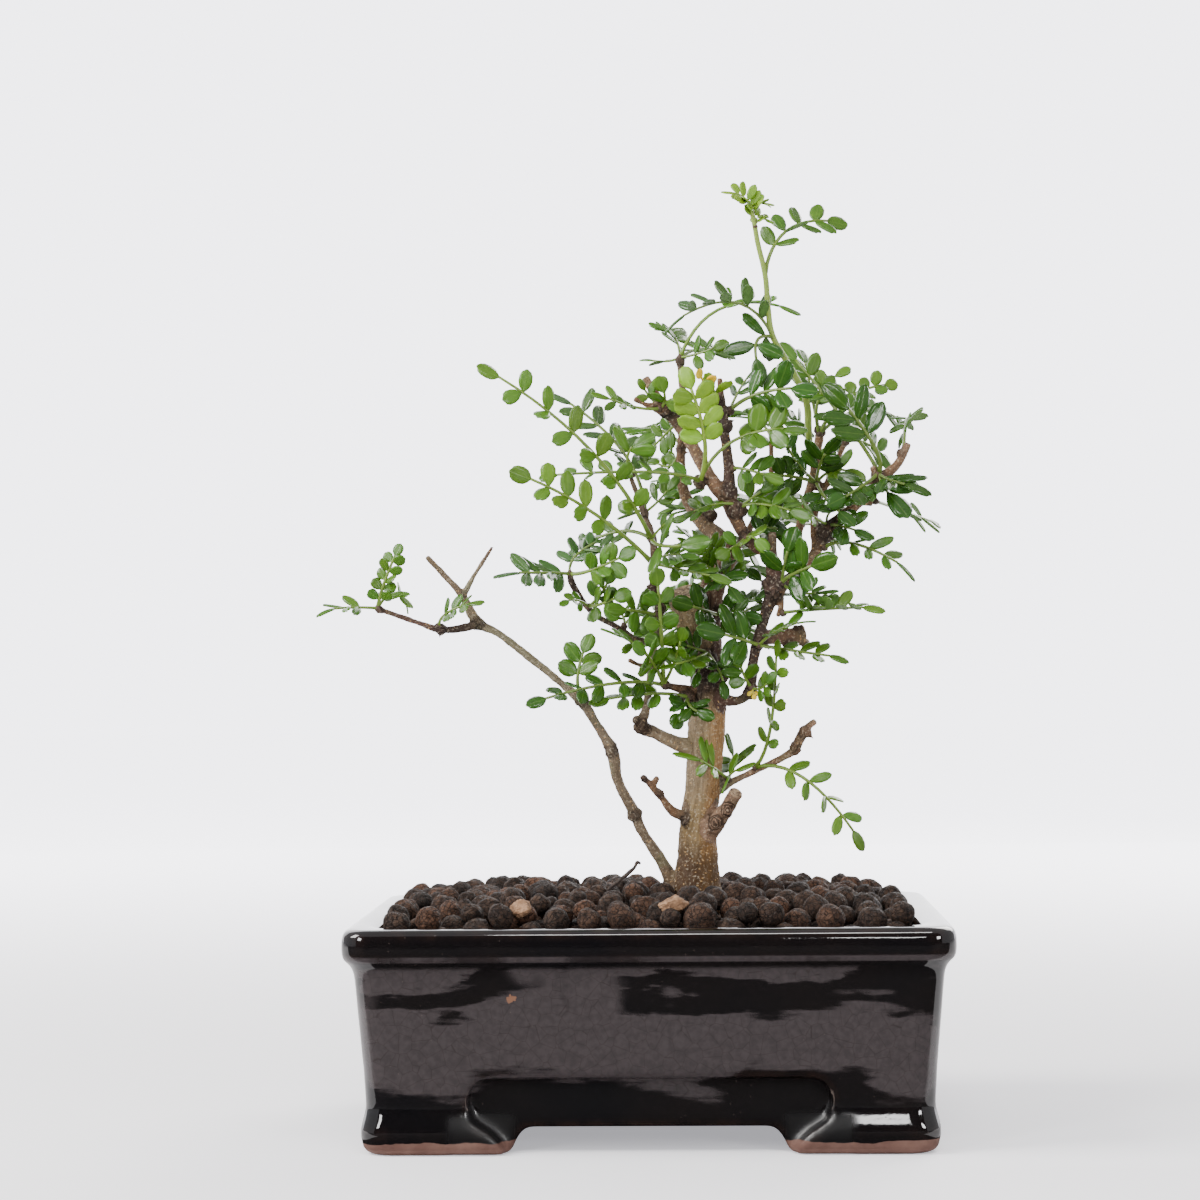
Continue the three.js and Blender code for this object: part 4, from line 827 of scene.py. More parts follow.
shader.inputs["Specular IOR Level"].default_value = 0.22
pellets.data.materials.clear()
pellets.data.materials.append(pellet_finish)
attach(pellets, "root")
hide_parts("clay_pellets")

# The dry twig: a thin dead twig that has dropped on the pellets left of the trunk, with a hooked, broken end.
# It is not fixed to anything.

def on_sight(x, z, depth):
    """Moves a place seen on the pot's middle plane along the line of sight to its own depth."""
    on_plane = Vector((x * MM, 0, z * MM))
    return EYE + (on_plane - EYE) * ((depth * MM - EYE.y) / -EYE.y)


def bent_stick(name, places, radii, steps=6, roundness=2):
    """A round stick that bends smoothly through these places, with flat ends."""
    deselect_all()
    bpy.ops.curve.primitive_bezier_curve_add(location=(0, 0, 0))
    stick = bpy.context.object
    stick.name = name
    spline = stick.data.splines[0]
    spline.bezier_points.add(len(places) - 2)
    for point, place, radius in zip(spline.bezier_points, places, radii):
        point.co = place
        point.radius = radius
        point.handle_left_type = point.handle_right_type = "AUTO"
    stick.data.twist_mode = "MINIMUM"
    stick.data.bevel_depth = MM
    stick.data.bevel_resolution = roundness
    stick.data.resolution_u = steps
    stick.data.use_fill_caps = True
    bpy.ops.object.convert(target="MESH")
    return bpy.context.object


def roughen(piece, lift):
    """Moves every point of a piece along its normal, by the lift at its place."""
    normals = [vertex.normal.copy() for vertex in piece.data.vertices]
    for vertex, normal in zip(piece.data.vertices, normals):
        vertex.co += normal * lift(vertex.co)


twig = bent_stick("fallen_twig",
                  [on_sight(-15.5, 80.2, -13), on_sight(-10.5, 84.2, -10.5), on_sight(-7.5, 86.6, -8.6),
                   on_sight(-5.6, 88.4, -7.4), on_sight(-4.6, 90.0, -6.8), on_sight(-3.6, 89.6, -6.4)],
                  [0.6, 0.6, 0.75, 0.55, 0.65, 0.4], 5)
roughen(twig, lambda place: noise.noise(place * 900) * 0.14 * MM)
shade_smooth(twig.data)
dead_bark, nodes, links, shader, here = new_finish("dead_bark")
links.new(place_group(nodes, links, cloudy_tint, here, scale=700.0, amount=0.42, softness=0.14,
                      ground=(0.022, 0.013, 0.01), cloud=(0.07, 0.047, 0.034)).outputs["Color"],
          shader.inputs["Base Color"])
uneven_roughness(nodes, links, shader, here, 400, 0.65, 0.95)
links.new(relief(nodes, links, cloud(nodes, links, here, 1400, 5), 0.7, 0.3 * MM), shader.inputs["Normal"])
twig.data.materials.append(dead_bark)
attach(twig, "root")
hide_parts("dry_twig")

# The two stones: chips of crushed ochre sandstone that lie loose among the front pellets, one in front of the
# trunk and one on the left, with sharp broken faces.
stone_finish, nodes, links, shader, here = new_finish("broken_sandstone")
stone_colour = place_group(nodes, links, cloudy_tint, here, scale=420.0, amount=0.5, softness=0.16,
                           ground=(0.13, 0.065, 0.03), cloud=(0.31, 0.18, 0.1)).outputs["Color"]
grit = place_group(nodes, links, speckle, here, density=1400.0, size=0.25).outputs["Mask"]
grit = sum_of(nodes, links, grit, 0.6, "MULTIPLY")
stone_colour = blend(nodes, links, grit, stone_colour, (0.14, 0.07, 0.04))
links.new(stone_colour, shader.inputs["Base Color"])
uneven_roughness(nodes, links, shader, here, 500, 0.75, 0.98)
links.new(relief(nodes, links, cloud(nodes, links, here, 1100, 8), 0.8, 0.4 * MM), shader.inputs["Normal"])
for name, node, centre, size, turn in (("ochre_chip", "stone_ochre", (8, -53, 79.4), 4.7, 0.5),
                                       ("tan_chip", "stone_tan", (-42, -54, 78.6), 4.0, 1.6)):
    random.seed(node)
    deselect_all()
    bpy.ops.mesh.primitive_ico_sphere_add(subdivisions=5, radius=1, location=(0, 0, 0))
    chip = bpy.context.object
    chip.name = name
    bpy.ops.object.mode_set(mode="EDIT")
    for _ in range(11):
        away = Vector((random.gauss(0, 1), random.gauss(0, 1), random.gauss(0, 1))).normalized()
        bpy.ops.mesh.select_all(action="SELECT")
        bpy.ops.mesh.bisect(plane_co=away * random.uniform(0.6, 0.85), plane_no=away, clear_outer=True,
                            use_fill=True)
    bpy.ops.object.mode_set(mode="OBJECT")
    chip.matrix_world = (Matrix.Translation(Vector(centre) * MM) @ Matrix.Rotation(turn, 4, "Z")
                         @ Matrix.Diagonal((size * 1.15 * MM, size * 0.85 * MM, size * 0.8 * MM, 1)))
    apply_place()
    grain = chip.modifiers.new("grain", "REMESH")
    grain.mode = "VOXEL"
    grain.voxel_size = 0.22 * MM
    apply_modifiers(chip)
    roughen(chip, lambda place: (noise.noise(place * 420) * 0.5 + noise.noise(place * 1500) * 0.35) * MM)
    shade_smooth(chip.data)
    chip.data.materials.append(stone_finish)
    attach(chip, "root")
    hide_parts(node)

# The wood: an old stump, cut back hard, with a short trunk that splits above a corky scar, limbs that turn at
# swollen knots, dried stubs and prickles where they were pruned, and a second, slender stem that leans out to
# the left. It is one living piece, grown from roots in the soil.

# Each limb is a row of places as seen from the front (x, z), with depth and radius in mm, thick end first.
LIMBS = {
    "trunk": [
        (15.5, 48, 0, 9), (15.8, 66, 0, 10.5), (15.9, 82, 0, 8.6), (16.3, 91, 0, 7.2),
        (16.6, 103, 0, 6.4), (18.4, 116, 0, 6.2), (19.4, 130, 0, 6.5), (20.4, 143, 0, 6.6),
        (20.6, 152, 0, 6.3), (20.2, 162, 1, 5.6), (20, 172, 2, 5.3), (22, 184, 4, 4.6),
        (26.5, 193, 6, 3.9), (29, 199, 8, 3.3)],
    "chopped_top": [(19, 163, 1, 5.5), (16, 173, -2, 6.2), (13, 184, -7, 6.6)],
    "root_left": [(15, 70, 0, 7), (6, 67, -3, 4.5), (-4, 58, -7, 3), (-12, 50, -10, 1.8)],
    "root_right": [(17, 70, 0, 7), (28, 66, 3, 4.2), (38, 57, 6, 2.6), (46, 49, 8, 1.6)],
    "root_front": [(16, 70, -1, 7), (18, 65, -12, 4), (20, 56, -22, 2.5), (22, 48, -30, 1.5)],
    "slender_stem": [
        (14, 68, 1, 4), (8, 82, 3, 2.9), (3.4, 91, 3, 2), (-3, 101, 1, 1.8), (-5.4, 107, 0, 2.1),
        (-11, 118, -4, 1.8), (-13.2, 129, -8, 2.3), (-18, 137.5, -11, 1.5), (-23.5, 146, -16, 1.9),
        (-30, 152, -19, 1.3), (-42, 162, -24, 1.4), (-53, 170.5, -28, 1.25), (-59.5, 174, -30, 1.9),
        (-65, 183.5, -33, 1.35), (-72, 191.5, -36, 1.05), (-77.3, 197.3, -38, 0.9)],
    "slender_twig_up": [
        (-65, 183, -33, 1.2), (-61, 190, -36, 0.8), (-58, 194.7, -38, 0.75), (-54.2, 200.5, -41, 0.6)],
    "slender_twig_left": [
        (-59.5, 173.5, -30, 1.5), (-65, 172.2, -33, 1.35), (-72.5, 171.7, -36, 1.25),
        (-80, 174, -39, 0.9), (-87.5, 176.7, -42, 0.9), (-94.3, 179, -45, 0.9)],
    "left_branch": [
        (15, 129.5, -2, 3), (8, 132, -4, 2.5), (2, 135, -6, 2.1), (-2.4, 137.4, -7, 2.4),
        (-1.2, 143, -8, 1.5), (0, 151, -8, 1.35), (1.5, 163, -9, 1.3), (4, 178, -11, 1.5),
        (2.5, 185, -12, 1.7), (2.2, 193, -13, 1.35), (1.6, 203, -14, 1.4), (-1, 211, -15, 1.1),
        (-5.6, 224, -16, 0.9)],
    "left_branch_twig": [(0.9, 158, -8.5, 1.2), (-4, 159, -12, 0.7), (-7, 160.5, -15, 0.9)],
    "left_spur": [(16, 149, -2, 2.2), (10, 150.5, -7, 1.5), (6, 151.6, -11, 1.2)],
    "dark_twig": [
        (19, 163, 0, 2), (10, 166, 0, 1.3), (-4, 167.5, -2, 1.2), (-10, 171.5, -6, 1.1),
        (-20, 177.5, -11, 1.05), (-24, 183, -13, 1.05), (-26.9, 188.6, -15.8, 1.3),
        (-27.3, 191, -17, 1.1)],
    "low_twig": [(13, 105.5, -3, 2), (8, 107.5, -5, 1.7), (4.4, 112, -7, 1.3), (-2, 119.5, -9, 0.95)],
    "low_twig_nub": [(0.6, 115.8, -8, 1.1), (2.6, 119.6, -9, 1)],
    "cut_stub": [(18.5, 98, -1, 3.8), (23, 104, -4, 3.3), (26.6, 108.6, -7, 2.6), (30, 114.2, -11.5, 2.5)],
    "right_twig": [
        (23, 115, 0, 2.2), (30, 118.5, 1, 1.2), (36, 121.3, 0, 1.2), (47, 126.5, -2, 1.25),
        (50.5, 129, -2, 1.6), (52.5, 133, -3, 1.9), (55, 136.5, -3, 1.3), (57.8, 138.7, -4, 1.1)],
    "front_stem": [
        (23, 147.5, -2, 2.6), (31, 146, -6, 1.6), (34.4, 148.5, -8, 1.7), (36.3, 159, -10, 1.9),
        (38.5, 169, -11, 1.8), (41.5, 178, -11, 2.1), (43.4, 184, -11, 3), (43, 191, -10, 2),
        (42, 197, -9, 2), (37.5, 199.5, -9, 2), (33.3, 204.3, -8, 2.2), (30.6, 210, -7, 2.5),
        (28.4, 216, -6, 2.9)],
    "front_stem_top": [
        (43.8, 183, -11, 1.9), (45.2, 189, -12, 1.5), (44, 196, -13, 1.3), (43.2, 204.5, -13, 1.6)],
    "front_stem_spur": [(44.8, 184.5, -11, 1.6), (46.3, 179, -12, 1.1), (45, 175, -13, 0.8)],
    "front_stem_stub": [(38.7, 167.5, -11, 2.4), (46, 168.3, -7, 2.9), (54, 168, -4, 3.1)],
    "crown_left": [
        (28.6, 215, -6, 2.7), (22.5, 223, -6, 2.5), (14.5, 237.5, -8, 2.1), (8, 247, -9, 2.5),
        (4, 252, -9, 1.6), (-0.5, 259, -9, 1.5)],
    "crown_left_spur": [(7, 247.5, -9, 2), (-1, 250, -12, 0.8), (-4.2, 251.8, -13, 1.1)],
    "crown_middle": [
        (28.4, 215, -6, 2.6), (28.7, 224, -7, 2.1), (28, 233, -9, 1.7), (27, 241, -10, 1.9),
        (26.3, 249, -10, 1.6), (25.7, 258.5, -9, 0.9)],
    "crown_back": [
        (28.6, 198, 8, 3.2), (24.5, 203.5, 10, 3), (19.5, 207.5, 12, 2.6), (15, 214, 14, 2.2),
        (12.4, 221, 15, 1.9), (12, 233, 16, 1.6), (13, 246, 16, 1.4), (12, 264, 14, 1.2)],
    "crown_back_knob": [(20.5, 206.5, 12, 1.8), (22.2, 211, 13, 1.7)],
    "right_branch": [
        (43.5, 184.5, -10, 2.6), (50, 189, -6, 1.9), (56, 194, -2, 1.9), (60, 200, 2, 2),
        (63, 204.8, 4, 2.9), (70, 211.2, 6, 1.9), (76, 217, 8, 1.8), (80.5, 222.5, 8, 2.2),
        (86, 226.4, 8, 1.6), (89, 230.5, 7, 1.4), (91, 235, 6, 1.4)],
    "right_branch_nub": [(74.5, 215, 8, 1.5), (78.5, 214.3, 8, 1.2)],
    "right_branch_stub": [(80, 222, 8, 1.6), (78.5, 227, 6, 1.2)],
    "right_inner": [
        (51, 190, -5, 1.8), (52, 200, 6, 1.5), (54, 211, 14, 1.5), (57.8, 224, 20, 1.5),
        (60.6, 240, 30, 1.6)],
    "right_inner_twig": [
        (58.5, 197.5, 0, 1.6), (58.6, 212, 14, 1.3), (63, 222, 19, 1.1), (68.8, 235, 25, 1)],
    "back_twig": [
        (25.5, 191, 6, 2), (33, 202, 16, 1.4), (38, 210, 24, 1.2), (42.5, 220, 30, 1.1),
        (43.5, 237, 34, 0.9)],
}

# Bark colours along some limbs, from the thick end to the tip; the others are warm brown all along.
WARM_BROWN = (0.17, 0.09, 0.045)
TAN_GREY = (0.335, 0.25, 0.15)
OLIVE_TAN = (0.24, 0.165, 0.075)
PURPLE_BROWN = (0.085, 0.045, 0.035)
NEAR_BLACK = (0.028, 0.019, 0.017)
GREY_BROWN = (0.165, 0.12, 0.076)
GREY_GREEN = (0.2, 0.19, 0.115)
PINK_TAN = (0.27, 0.165, 0.105)
SOFT_GREY = (0.22, 0.17, 0.115)
ORANGE_BROWN = (0.36, 0.18, 0.056)
DARK_FOOT = (0.045, 0.02, 0.006)
CUT_WOOD = (0.5, 0.35, 0.22)
BARKS = {
    "trunk": [(0, DARK_FOOT), (0.28, DARK_FOOT), (0.37, OLIVE_TAN), (0.46, TAN_GREY), (0.6, TAN_GREY),
              (0.66, NEAR_BLACK), (0.76, PURPLE_BROWN), (1, WARM_BROWN)],
    "chopped_top": [(0, GREY_BROWN), (0.4, OLIVE_TAN), (1, TAN_GREY)],
    "slender_stem": [(0, DARK_FOOT), (0.08, DARK_FOOT), (0.16, GREY_BROWN), (0.5, SOFT_GREY),
                     (0.75, GREY_GREEN), (0.9, GREY_BROWN), (1, GREY_BROWN)],
    "slender_twig_up": [(0, NEAR_BLACK), (0.2, GREY_GREEN), (0.7, GREY_BROWN), (1, PURPLE_BROWN)],
    "slender_twig_left": [(0, NEAR_BLACK), (0.35, NEAR_BLACK), (0.5, PURPLE_BROWN), (0.9, PURPLE_BROWN),
                          (1, PINK_TAN)],
    "left_branch": [(0, TAN_GREY), (0.22, GREY_BROWN), (0.5, GREY_GREEN), (0.6, PURPLE_BROWN),
                    (1, GREY_BROWN)],
    "dark_twig": [(0, PURPLE_BROWN), (1, NEAR_BLACK)],
    "low_twig": [(0, GREY_BROWN), (0.3, WARM_BROWN), (0.8, WARM_BROWN), (1, PURPLE_BROWN)],
    "cut_stub": [(0, PINK_TAN), (1, PINK_TAN)],
    "right_twig": [(0, GREY_GREEN), (0.3, PINK_TAN), (0.7, WARM_BROWN), (1, PINK_TAN)],
    "front_stem": [(0, PURPLE_BROWN), (0.5, NEAR_BLACK), (0.6, PURPLE_BROWN), (1, WARM_BROWN)],
    "front_stem_top": [(0, NEAR_BLACK), (0.4, PURPLE_BROWN), (1, GREY_BROWN)],
    "front_stem_stub": [(0, PURPLE_BROWN), (1, WARM_BROWN)],
    "crown_left": [(0, WARM_BROWN), (0.6, PINK_TAN), (0.7, NEAR_BLACK), (0.8, WARM_BROWN), (1, PINK_TAN)],
    "crown_middle": [(0, PURPLE_BROWN), (0.7, NEAR_BLACK), (1, WARM_BROWN)],
    "crown_back": [(0, GREY_BROWN), (0.5, WARM_BROWN), (1, GREY_BROWN)],
    "right_branch": [(0, NEAR_BLACK), (0.2, WARM_BROWN), (0.38, NEAR_BLACK), (0.5, WARM_BROWN),
                     (0.8, WARM_BROWN), (1, PINK_TAN)],
}
CUT_ENDS = ("chopped_top", "cut_stub", "front_stem_stub", "crown_left", "front_stem_top", "right_branch",
            "right_branch_stub", "right_twig")

# Swollen scars: place, depth and radius.
KNOTS = [
    (-5.6, 106.6, 0, 2.5), (-13.4, 129.2, -8, 2.6), (-23.6, 146.4, -16, 2.3), (-59.8, 173.6, -30, 2.5),
    (-73, 172.2, -36.5, 2), (-94, 179, -45, 1.4), (-2.6, 137, -7, 2.8), (-4.4, 139.4, -8.6, 1.6),
    (4.2, 178, -11, 2.1), (1.4, 185.4, -12.6, 2.2), (1.4, 203, -14.4, 2), (-1, 211.2, -14.4, 1.7),
    (13.2, 147.6, -6.4, 2.3), (6, 151.6, -11, 1.7), (25, 118, 0, 2.3), (50.8, 129.4, -2, 2.1),
    (54, 134.8, -3.4, 2.2), (22.2, 103.2, -4.4, 3.5), (26.4, 107.6, -8.2, 2.4), (13.4, 104.6, -4, 2.6),
    (35, 148.6, -8.6, 2.4), (38.4, 166, -11.8, 2.4), (52, 170.4, -5, 2), (54.6, 165.6, -4, 1.8),
    (48.6, 165.4, -7, 2), (44, 183.6, -11.6, 3.7), (41.6, 187, -12.8, 2), (46, 186.2, -12.4, 2.2),
    (34.6, 202.6, -9, 2.7), (31.4, 212.4, -8, 3.2), (28.6, 218.6, -7.4, 3), (18.4, 222.4, -8.6, 2.3),
    (7.2, 248, -10.4, 3.2), (5, 249.6, -11.6, 2.2), (11.6, 243.2, -8, 2.4), (27.6, 241.6, -10.8, 2.5),
    (25.2, 250.4, -10.8, 2.2), (29, 247, -11, 1.8), (22, 210.6, 12.6, 2.5), (12, 234, 16.4, 2),
    (12, 264.6, 13.8, 1.9), (62.4, 204.8, 3, 3.6), (64.6, 206.6, 2, 2.2), (80.4, 222.8, 7.6, 2.8),
    (88.8, 231.6, 8, 1.9), (59, 221.2, 18, 2), (60.4, 239.6, 29.6, 2), (69, 235.2, 25.2, 1.5),
    (20.6, 160, -5.4, 3.6), (17, 156, -5.2, 3), (24.6, 155, -4.6, 3), (23.6, 176, -1.2, 2.4),
    (25, 190.6, 1.6, 2.4), (21, 151, -6.2, 2.4), (13.8, 165, -3.6, 3.2), (52, 190.4, -5, 2.2),
    (3.4, 114, -7.8, 1.6), (-2.2, 119.2, -9, 1.2),
]

# Where a shoot was cut away, the bark has closed round the place in rings: the middle of each scar, how far
# apart its rings are, and the distance that stands for no ring at all, in millimetres.
RING_SCARS = [(22.4, 103.4, -8), (26.8, 108, -10.6), (-1.8, 137, -9.6)]
RING_SPACING = 1.15
NO_RING = 9.0

# Prickles: the place of the root, its depth, and the direction in which it points.
PRICKLES = [
    (0.8, 185.6, -13.4, (-0.9, -0.2, 0.3)), (60.6, 206.4, 2, (-0.7, -0.3, 0.6)),
    (65.6, 204, 2.6, (0.8, -0.2, -0.5)), (41, 185.6, -13, (-0.9, -0.3, 0.2)),
    (47.6, 184.6, -12, (0.9, -0.2, 0.1)), (8.8, 250.4, -10, (0.5, -0.3, 0.8)),
    (3.6, 247.4, -11, (-0.7, -0.4, -0.5)), (-13.6, 131.4, -9, (-0.8, -0.3, 0.4)),
    (-24.6, 147.8, -17, (-0.7, -0.3, 0.7)), (-73, 170, -37, (0.1, -0.4, -0.9)),
    (-60.8, 175.4, -30.6, (-0.9, 0, 0.5)), (82.2, 221, 8, (0.7, -0.2, -0.6)),
    (79, 224.6, 7.4, (-0.7, -0.2, 0.7)), (29.4, 243.4, -11.6, (0.9, -0.3, 0.2)),
    (25, 240.4, -11.6, (-0.9, -0.3, 0.1)), (-4.6, 136.4, -8, (-0.8, -0.3, -0.4)),
    (56, 133.4, -3.6, (0.6, -0.4, -0.6)), (37.4, 150.8, -9.6, (0.9, -0.2, 0.3)),
    (57.6, 220.4, 16.6, (-0.8, -0.3, 0.4)), (13.8, 232.6, 15, (0.9, -0.3, 0.1)),
]

sticks = []
for name, points in LIMBS.items():
    sticks.append(bent_stick(name, [on_sight(x, z, depth) for x, z, depth, _ in points],
                             [radius for *_, radius in points], 7, 4))
for x, z, depth, radius in KNOTS:
    deselect_all()
    bpy.ops.mesh.primitive_ico_sphere_add(subdivisions=3, radius=radius * MM, location=on_sight(x, z, depth))
    knot = bpy.context.object
    apply_place()
    roughen(knot, lambda place: noise.noise(place * 420) * 0.42 * radius * MM)
    sticks.append(knot)
for x, z, depth, direction in PRICKLES:
    root = on_sight(x, z, depth)
    deselect_all()
    bpy.ops.mesh.primitive_cone_add(vertices=8, radius1=1.05 * MM, radius2=0.12 * MM, depth=4.4 * MM,
                                    location=(0, 0, 0))
    prickle = bpy.context.object
    pointing = Vector(direction).to_track_quat("Z", "Y").to_matrix().to_4x4()
    prickle.matrix_world = Matrix.Translation(root) @ pointing
    apply_place()
    sticks.append(prickle)
deselect_all()
for stick in sticks:
    stick.select_set(True)
bpy.context.view_layer.objects.active = sticks[0]
bpy.ops.object.join()
wood = bpy.context.object
wood.name = "pruned_wood"
wood.data.materials.clear()

# All the limbs grow into one another, with soft collars at every fork.
grown = wood.modifiers.new("grown", "REMESH")
grown.mode = "VOXEL"
grown.voxel_size = 0.52 * MM
grown.use_smooth_shade = True
collars = wood.modifiers.new("collars", "SMOOTH")
collars.factor = 0.5
collars.iterations = 2
apply_modifiers(wood)

# Every point is tied to the limb it belongs to: how far along it, and where round its middle line.
middle_lines = []
for limb, points in LIMBS.items():
    places = [on_sight(x, z, depth) for x, z, depth, _ in points]
    radii = [radius for *_, radius in points]
    lengths = [0.0]
    for a, b in zip(places, places[1:]):
        lengths.append(lengths[-1] + (b - a).length)
    for k in range(len(places) - 1):
        steps = max(2, int((lengths[k + 1] - lengths[k]) / (0.8 * MM)))
        along = (places[k + 1] - places[k]).normalized()
        for step in range(steps):
            t = step / steps
            radius = radii[k] * (1 - t) + radii[k + 1] * t
            run = lengths[k] + (lengths[k + 1] - lengths[k]) * t
            middle_lines.append((places[k].lerp(places[k + 1], t), along, radius, run, lengths[-1], limb))
tree = kdtree.KDTree(len(middle_lines))
for k, line in enumerate(middle_lines):
    tree.insert(line[0], k)
tree.balance()


def colour_along(stops, share):
    """The bark's colour at a share of its limb's length."""
    for (low, first), (high, second) in zip(stops, stops[1:]):
        if share <= high:
            t = max((share - low) / (high - low), 0)
            return [a + (b - a) * t for a, b in zip(first, second)]
    return list(stops[-1][1])


point_count = len(wood.data.vertices)
bark_colour = np.zeros((point_count, 4))
bark_place = np.zeros((point_count, 3))
bark_cut = np.zeros(point_count)
bark_cork = np.zeros(point_count)
bark_rings = np.full(point_count, NO_RING)
ring_scars = [on_sight(*scar) for scar in RING_SCARS]
knot_tree = kdtree.KDTree(len(KNOTS))
for k, (x, z, depth, _) in enumerate(KNOTS):
    knot_tree.insert(on_sight(x, z, depth), k)
knot_tree.balance()
shifts = np.zeros(point_count)
for vertex in wood.data.vertices:
    place, normal = vertex.co, vertex.normal
    nearest = min(tree.find_n(place, 9), key=lambda hit: hit[2] / MM - middle_lines[hit[1]][2])
    centre, along, radius, run, whole, limb = middle_lines[nearest[1]]
    stops = BARKS.get(limb, [(0, WARM_BROWN), (1, WARM_BROWN)])
    colour = colour_along(stops, run / whole)
    offset = place - centre
    reach = offset.dot(along)
    run_here = run + reach
    if limb in CUT_ENDS and run_here > whole - 0.25 * radius * MM and normal.dot(along) > 0.55:
        bark_cut[vertex.index] = 1
    round_place = offset - along * reach
    if bark_cut[vertex.index]:
        bark_rings[vertex.index] = round_place.length / MM
    else:
        bark_rings[vertex.index] = min(NO_RING, *((place - middle).length / MM for middle in ring_scars))
    bark_place[vertex.index] = (run_here, round_place.x + round_place.y * 0.3, round_place.y + round_place.z)
    _, index, distance = knot_tree.find(place)
    scar = 1 - min(max((distance / MM - KNOTS[index][3]) / 1.2, 0), 1)
    if limb != "trunk" or KNOTS[index][1] > 146:
        dark = 0.12 if limb == "cut_stub" else 0.45 if limb in ("right_twig", "left_branch") else 0.75
        colour = [c + (d - c) * dark * scar for c, d in zip(colour, NEAR_BLACK)]
    if limb == "trunk":
        ragged_z = place.z / MM + noise.noise(place * 130) * 14
        smooth_bark = min(max((150 - ragged_z) / 12, 0), 1)
        middle = max(1 - abs(offset.x / MM) / 3.5, 0) * (0.5 + noise.noise(place * 90))
        middle = min(max(middle, 0), 0.8) * min(max((place.z / MM - 88) / 10, 0), 1) * smooth_bark
        colour = [c + (d - c) * middle for c, d in zip(colour, OLIVE_TAN)]
        right = min(max((offset.x / MM + 0.3) / 3.5, 0), 1) * smooth_bark
        low = min(max((place.z / MM - 84) / 16, 0.32), 1)
        colour = [c + (d - c) * 0.8 * right for c, d in zip(colour, [v * low for v in ORANGE_BROWN])]
    bark_colour[vertex.index] = (*colour, 1)
    bark_cork[vertex.index] = max(scar, min(max((place.z / MM - 140) / 10, 0), 1) if limb == "trunk" else 0)
    rough = noise.noise(place * 330) * 0.3 + noise.noise(place * 900) * 0.17
    furrow = noise.noise(Vector((run_here * 130, round_place.x * 700, round_place.y * 700)))
    depth = min(radius, 4) / 4
    if not bark_cut[vertex.index]:
        shifts[vertex.index] = (rough * (0.35 + 0.65 * depth) + furrow * 0.32 * depth
                                + scar * 0.35 * noise.noise(place * 1300)) * MM
normals = np.zeros(point_count * 3)
wood.data.vertices.foreach_get("normal", normals)
places = np.zeros(point_count * 3)
wood.data.vertices.foreach_get("co", places)
wood.data.vertices.foreach_set("co", places + normals * np.repeat(shifts, 3))
colours = wood.data.attributes.new("bark_colour", "FLOAT_COLOR", "POINT")
colours.data.foreach_set("color", bark_colour.ravel().astype(np.float32))
runs = wood.data.attributes.new("bark_place", "FLOAT_VECTOR", "POINT")
runs.data.foreach_set("vector", bark_place.ravel().astype(np.float32))
write_point_values(wood, "fresh_cut", bark_cut)
write_point_values(wood, "cork", bark_cork)
write_point_values(wood, "ring_place", bark_rings)

# Under the pellets the stump is hidden, so its mesh is thinned there.
BURIED_BELOW = 74 * MM
buried = wood.vertex_groups.new(name="buried")
buried.add([v.index for v in wood.data.vertices if v.co.z < BURIED_BELOW], 1.0, "ADD")
thinned = wood.modifiers.new("thinned", "DECIMATE")
thinned.vertex_group = "buried"
thinned.ratio = 0.9
apply_modifiers(wood)
wood.vertex_groups.clear()

bark, nodes, links, shader, here = new_finish("pepper_bark")
ground_reader = nodes.new("ShaderNodeAttribute")
ground_reader.attribute_name = "bark_colour"
place_reader = nodes.new("ShaderNodeAttribute")
place_reader.attribute_name = "bark_place"
limb_place = place_reader.outputs["Vector"]
ground = ground_reader.outputs["Color"]
fibre = cloud(nodes, links, limb_place, 1.0, 5, (150, 1500, 1500))
cork = point_value(nodes, "cork")
patches = cloud(nodes, links, here, 160, 5)
fibre_mask = graded(nodes, links, fibre, 0.38, 0.66, 0, 0.9)
dark_fibre = blend(nodes, links, 0.4, ground, (0.06, 0.04, 0.025))
colour = blend(nodes, links, fibre_mask, dark_fibre, ground)
grains = graded(nodes, links, cloud(nodes, links, here, 1100, 3), 0.54, 0.66, 0, 0.65)
colour = blend(nodes, links, grains, colour, blend(nodes, links, 0.35, ground, (0.75, 0.66, 0.5)))
patch_mask = graded(nodes, links, patches, 0.46, 0.7)
shaded = sum_of(nodes, links, patch_mask, graded(nodes, links, cork, 0, 1, 0.35, 0.8), "MULTIPLY")
colour = blend(nodes, links, shaded, colour, blend(nodes, links, 0.65, ground, (0.05, 0.032, 0.022)))
streaks = graded(nodes, links, cloud(nodes, links, limb_place, 1.0, 3, (60, 800, 800)), 0.48, 0.62, 0, 0.6)
colour = blend(nodes, links, streaks, colour, blend(nodes, links, 0.6, ground, (0.07, 0.045, 0.025)))
lichen = graded(nodes, links, cloud(nodes, links, here, 95, 3), 0.56, 0.7, 0, 0.45)
colour = blend(nodes, links, lichen, colour, (0.12, 0.115, 0.06))
stretch = nodes.new("ShaderNodeMapping")
stretch.inputs["Scale"].default_value = (1.3, 0.8, 0.8)
links.new(limb_place, stretch.inputs["Vector"])
lenticels = place_group(nodes, links, speckle, stretch.outputs["Vector"],
                        density=640.0, size=0.27).outputs["Mask"]
dotted = graded(nodes, links, cloud(nodes, links, here, 70, 3), 0.36, 0.56, 0.25, 1.0)
smooth_bark_mask = graded(nodes, links, cork, 0.1, 0.8, 1, 0)
dotted = sum_of(nodes, links, dotted, smooth_bark_mask, "MULTIPLY")
lenticels = sum_of(nodes, links, lenticels, dotted, "MULTIPLY")
colour = blend(nodes, links, lenticels, colour, blend(nodes, links, 0.6, ground, (0.6, 0.37, 0.17)))
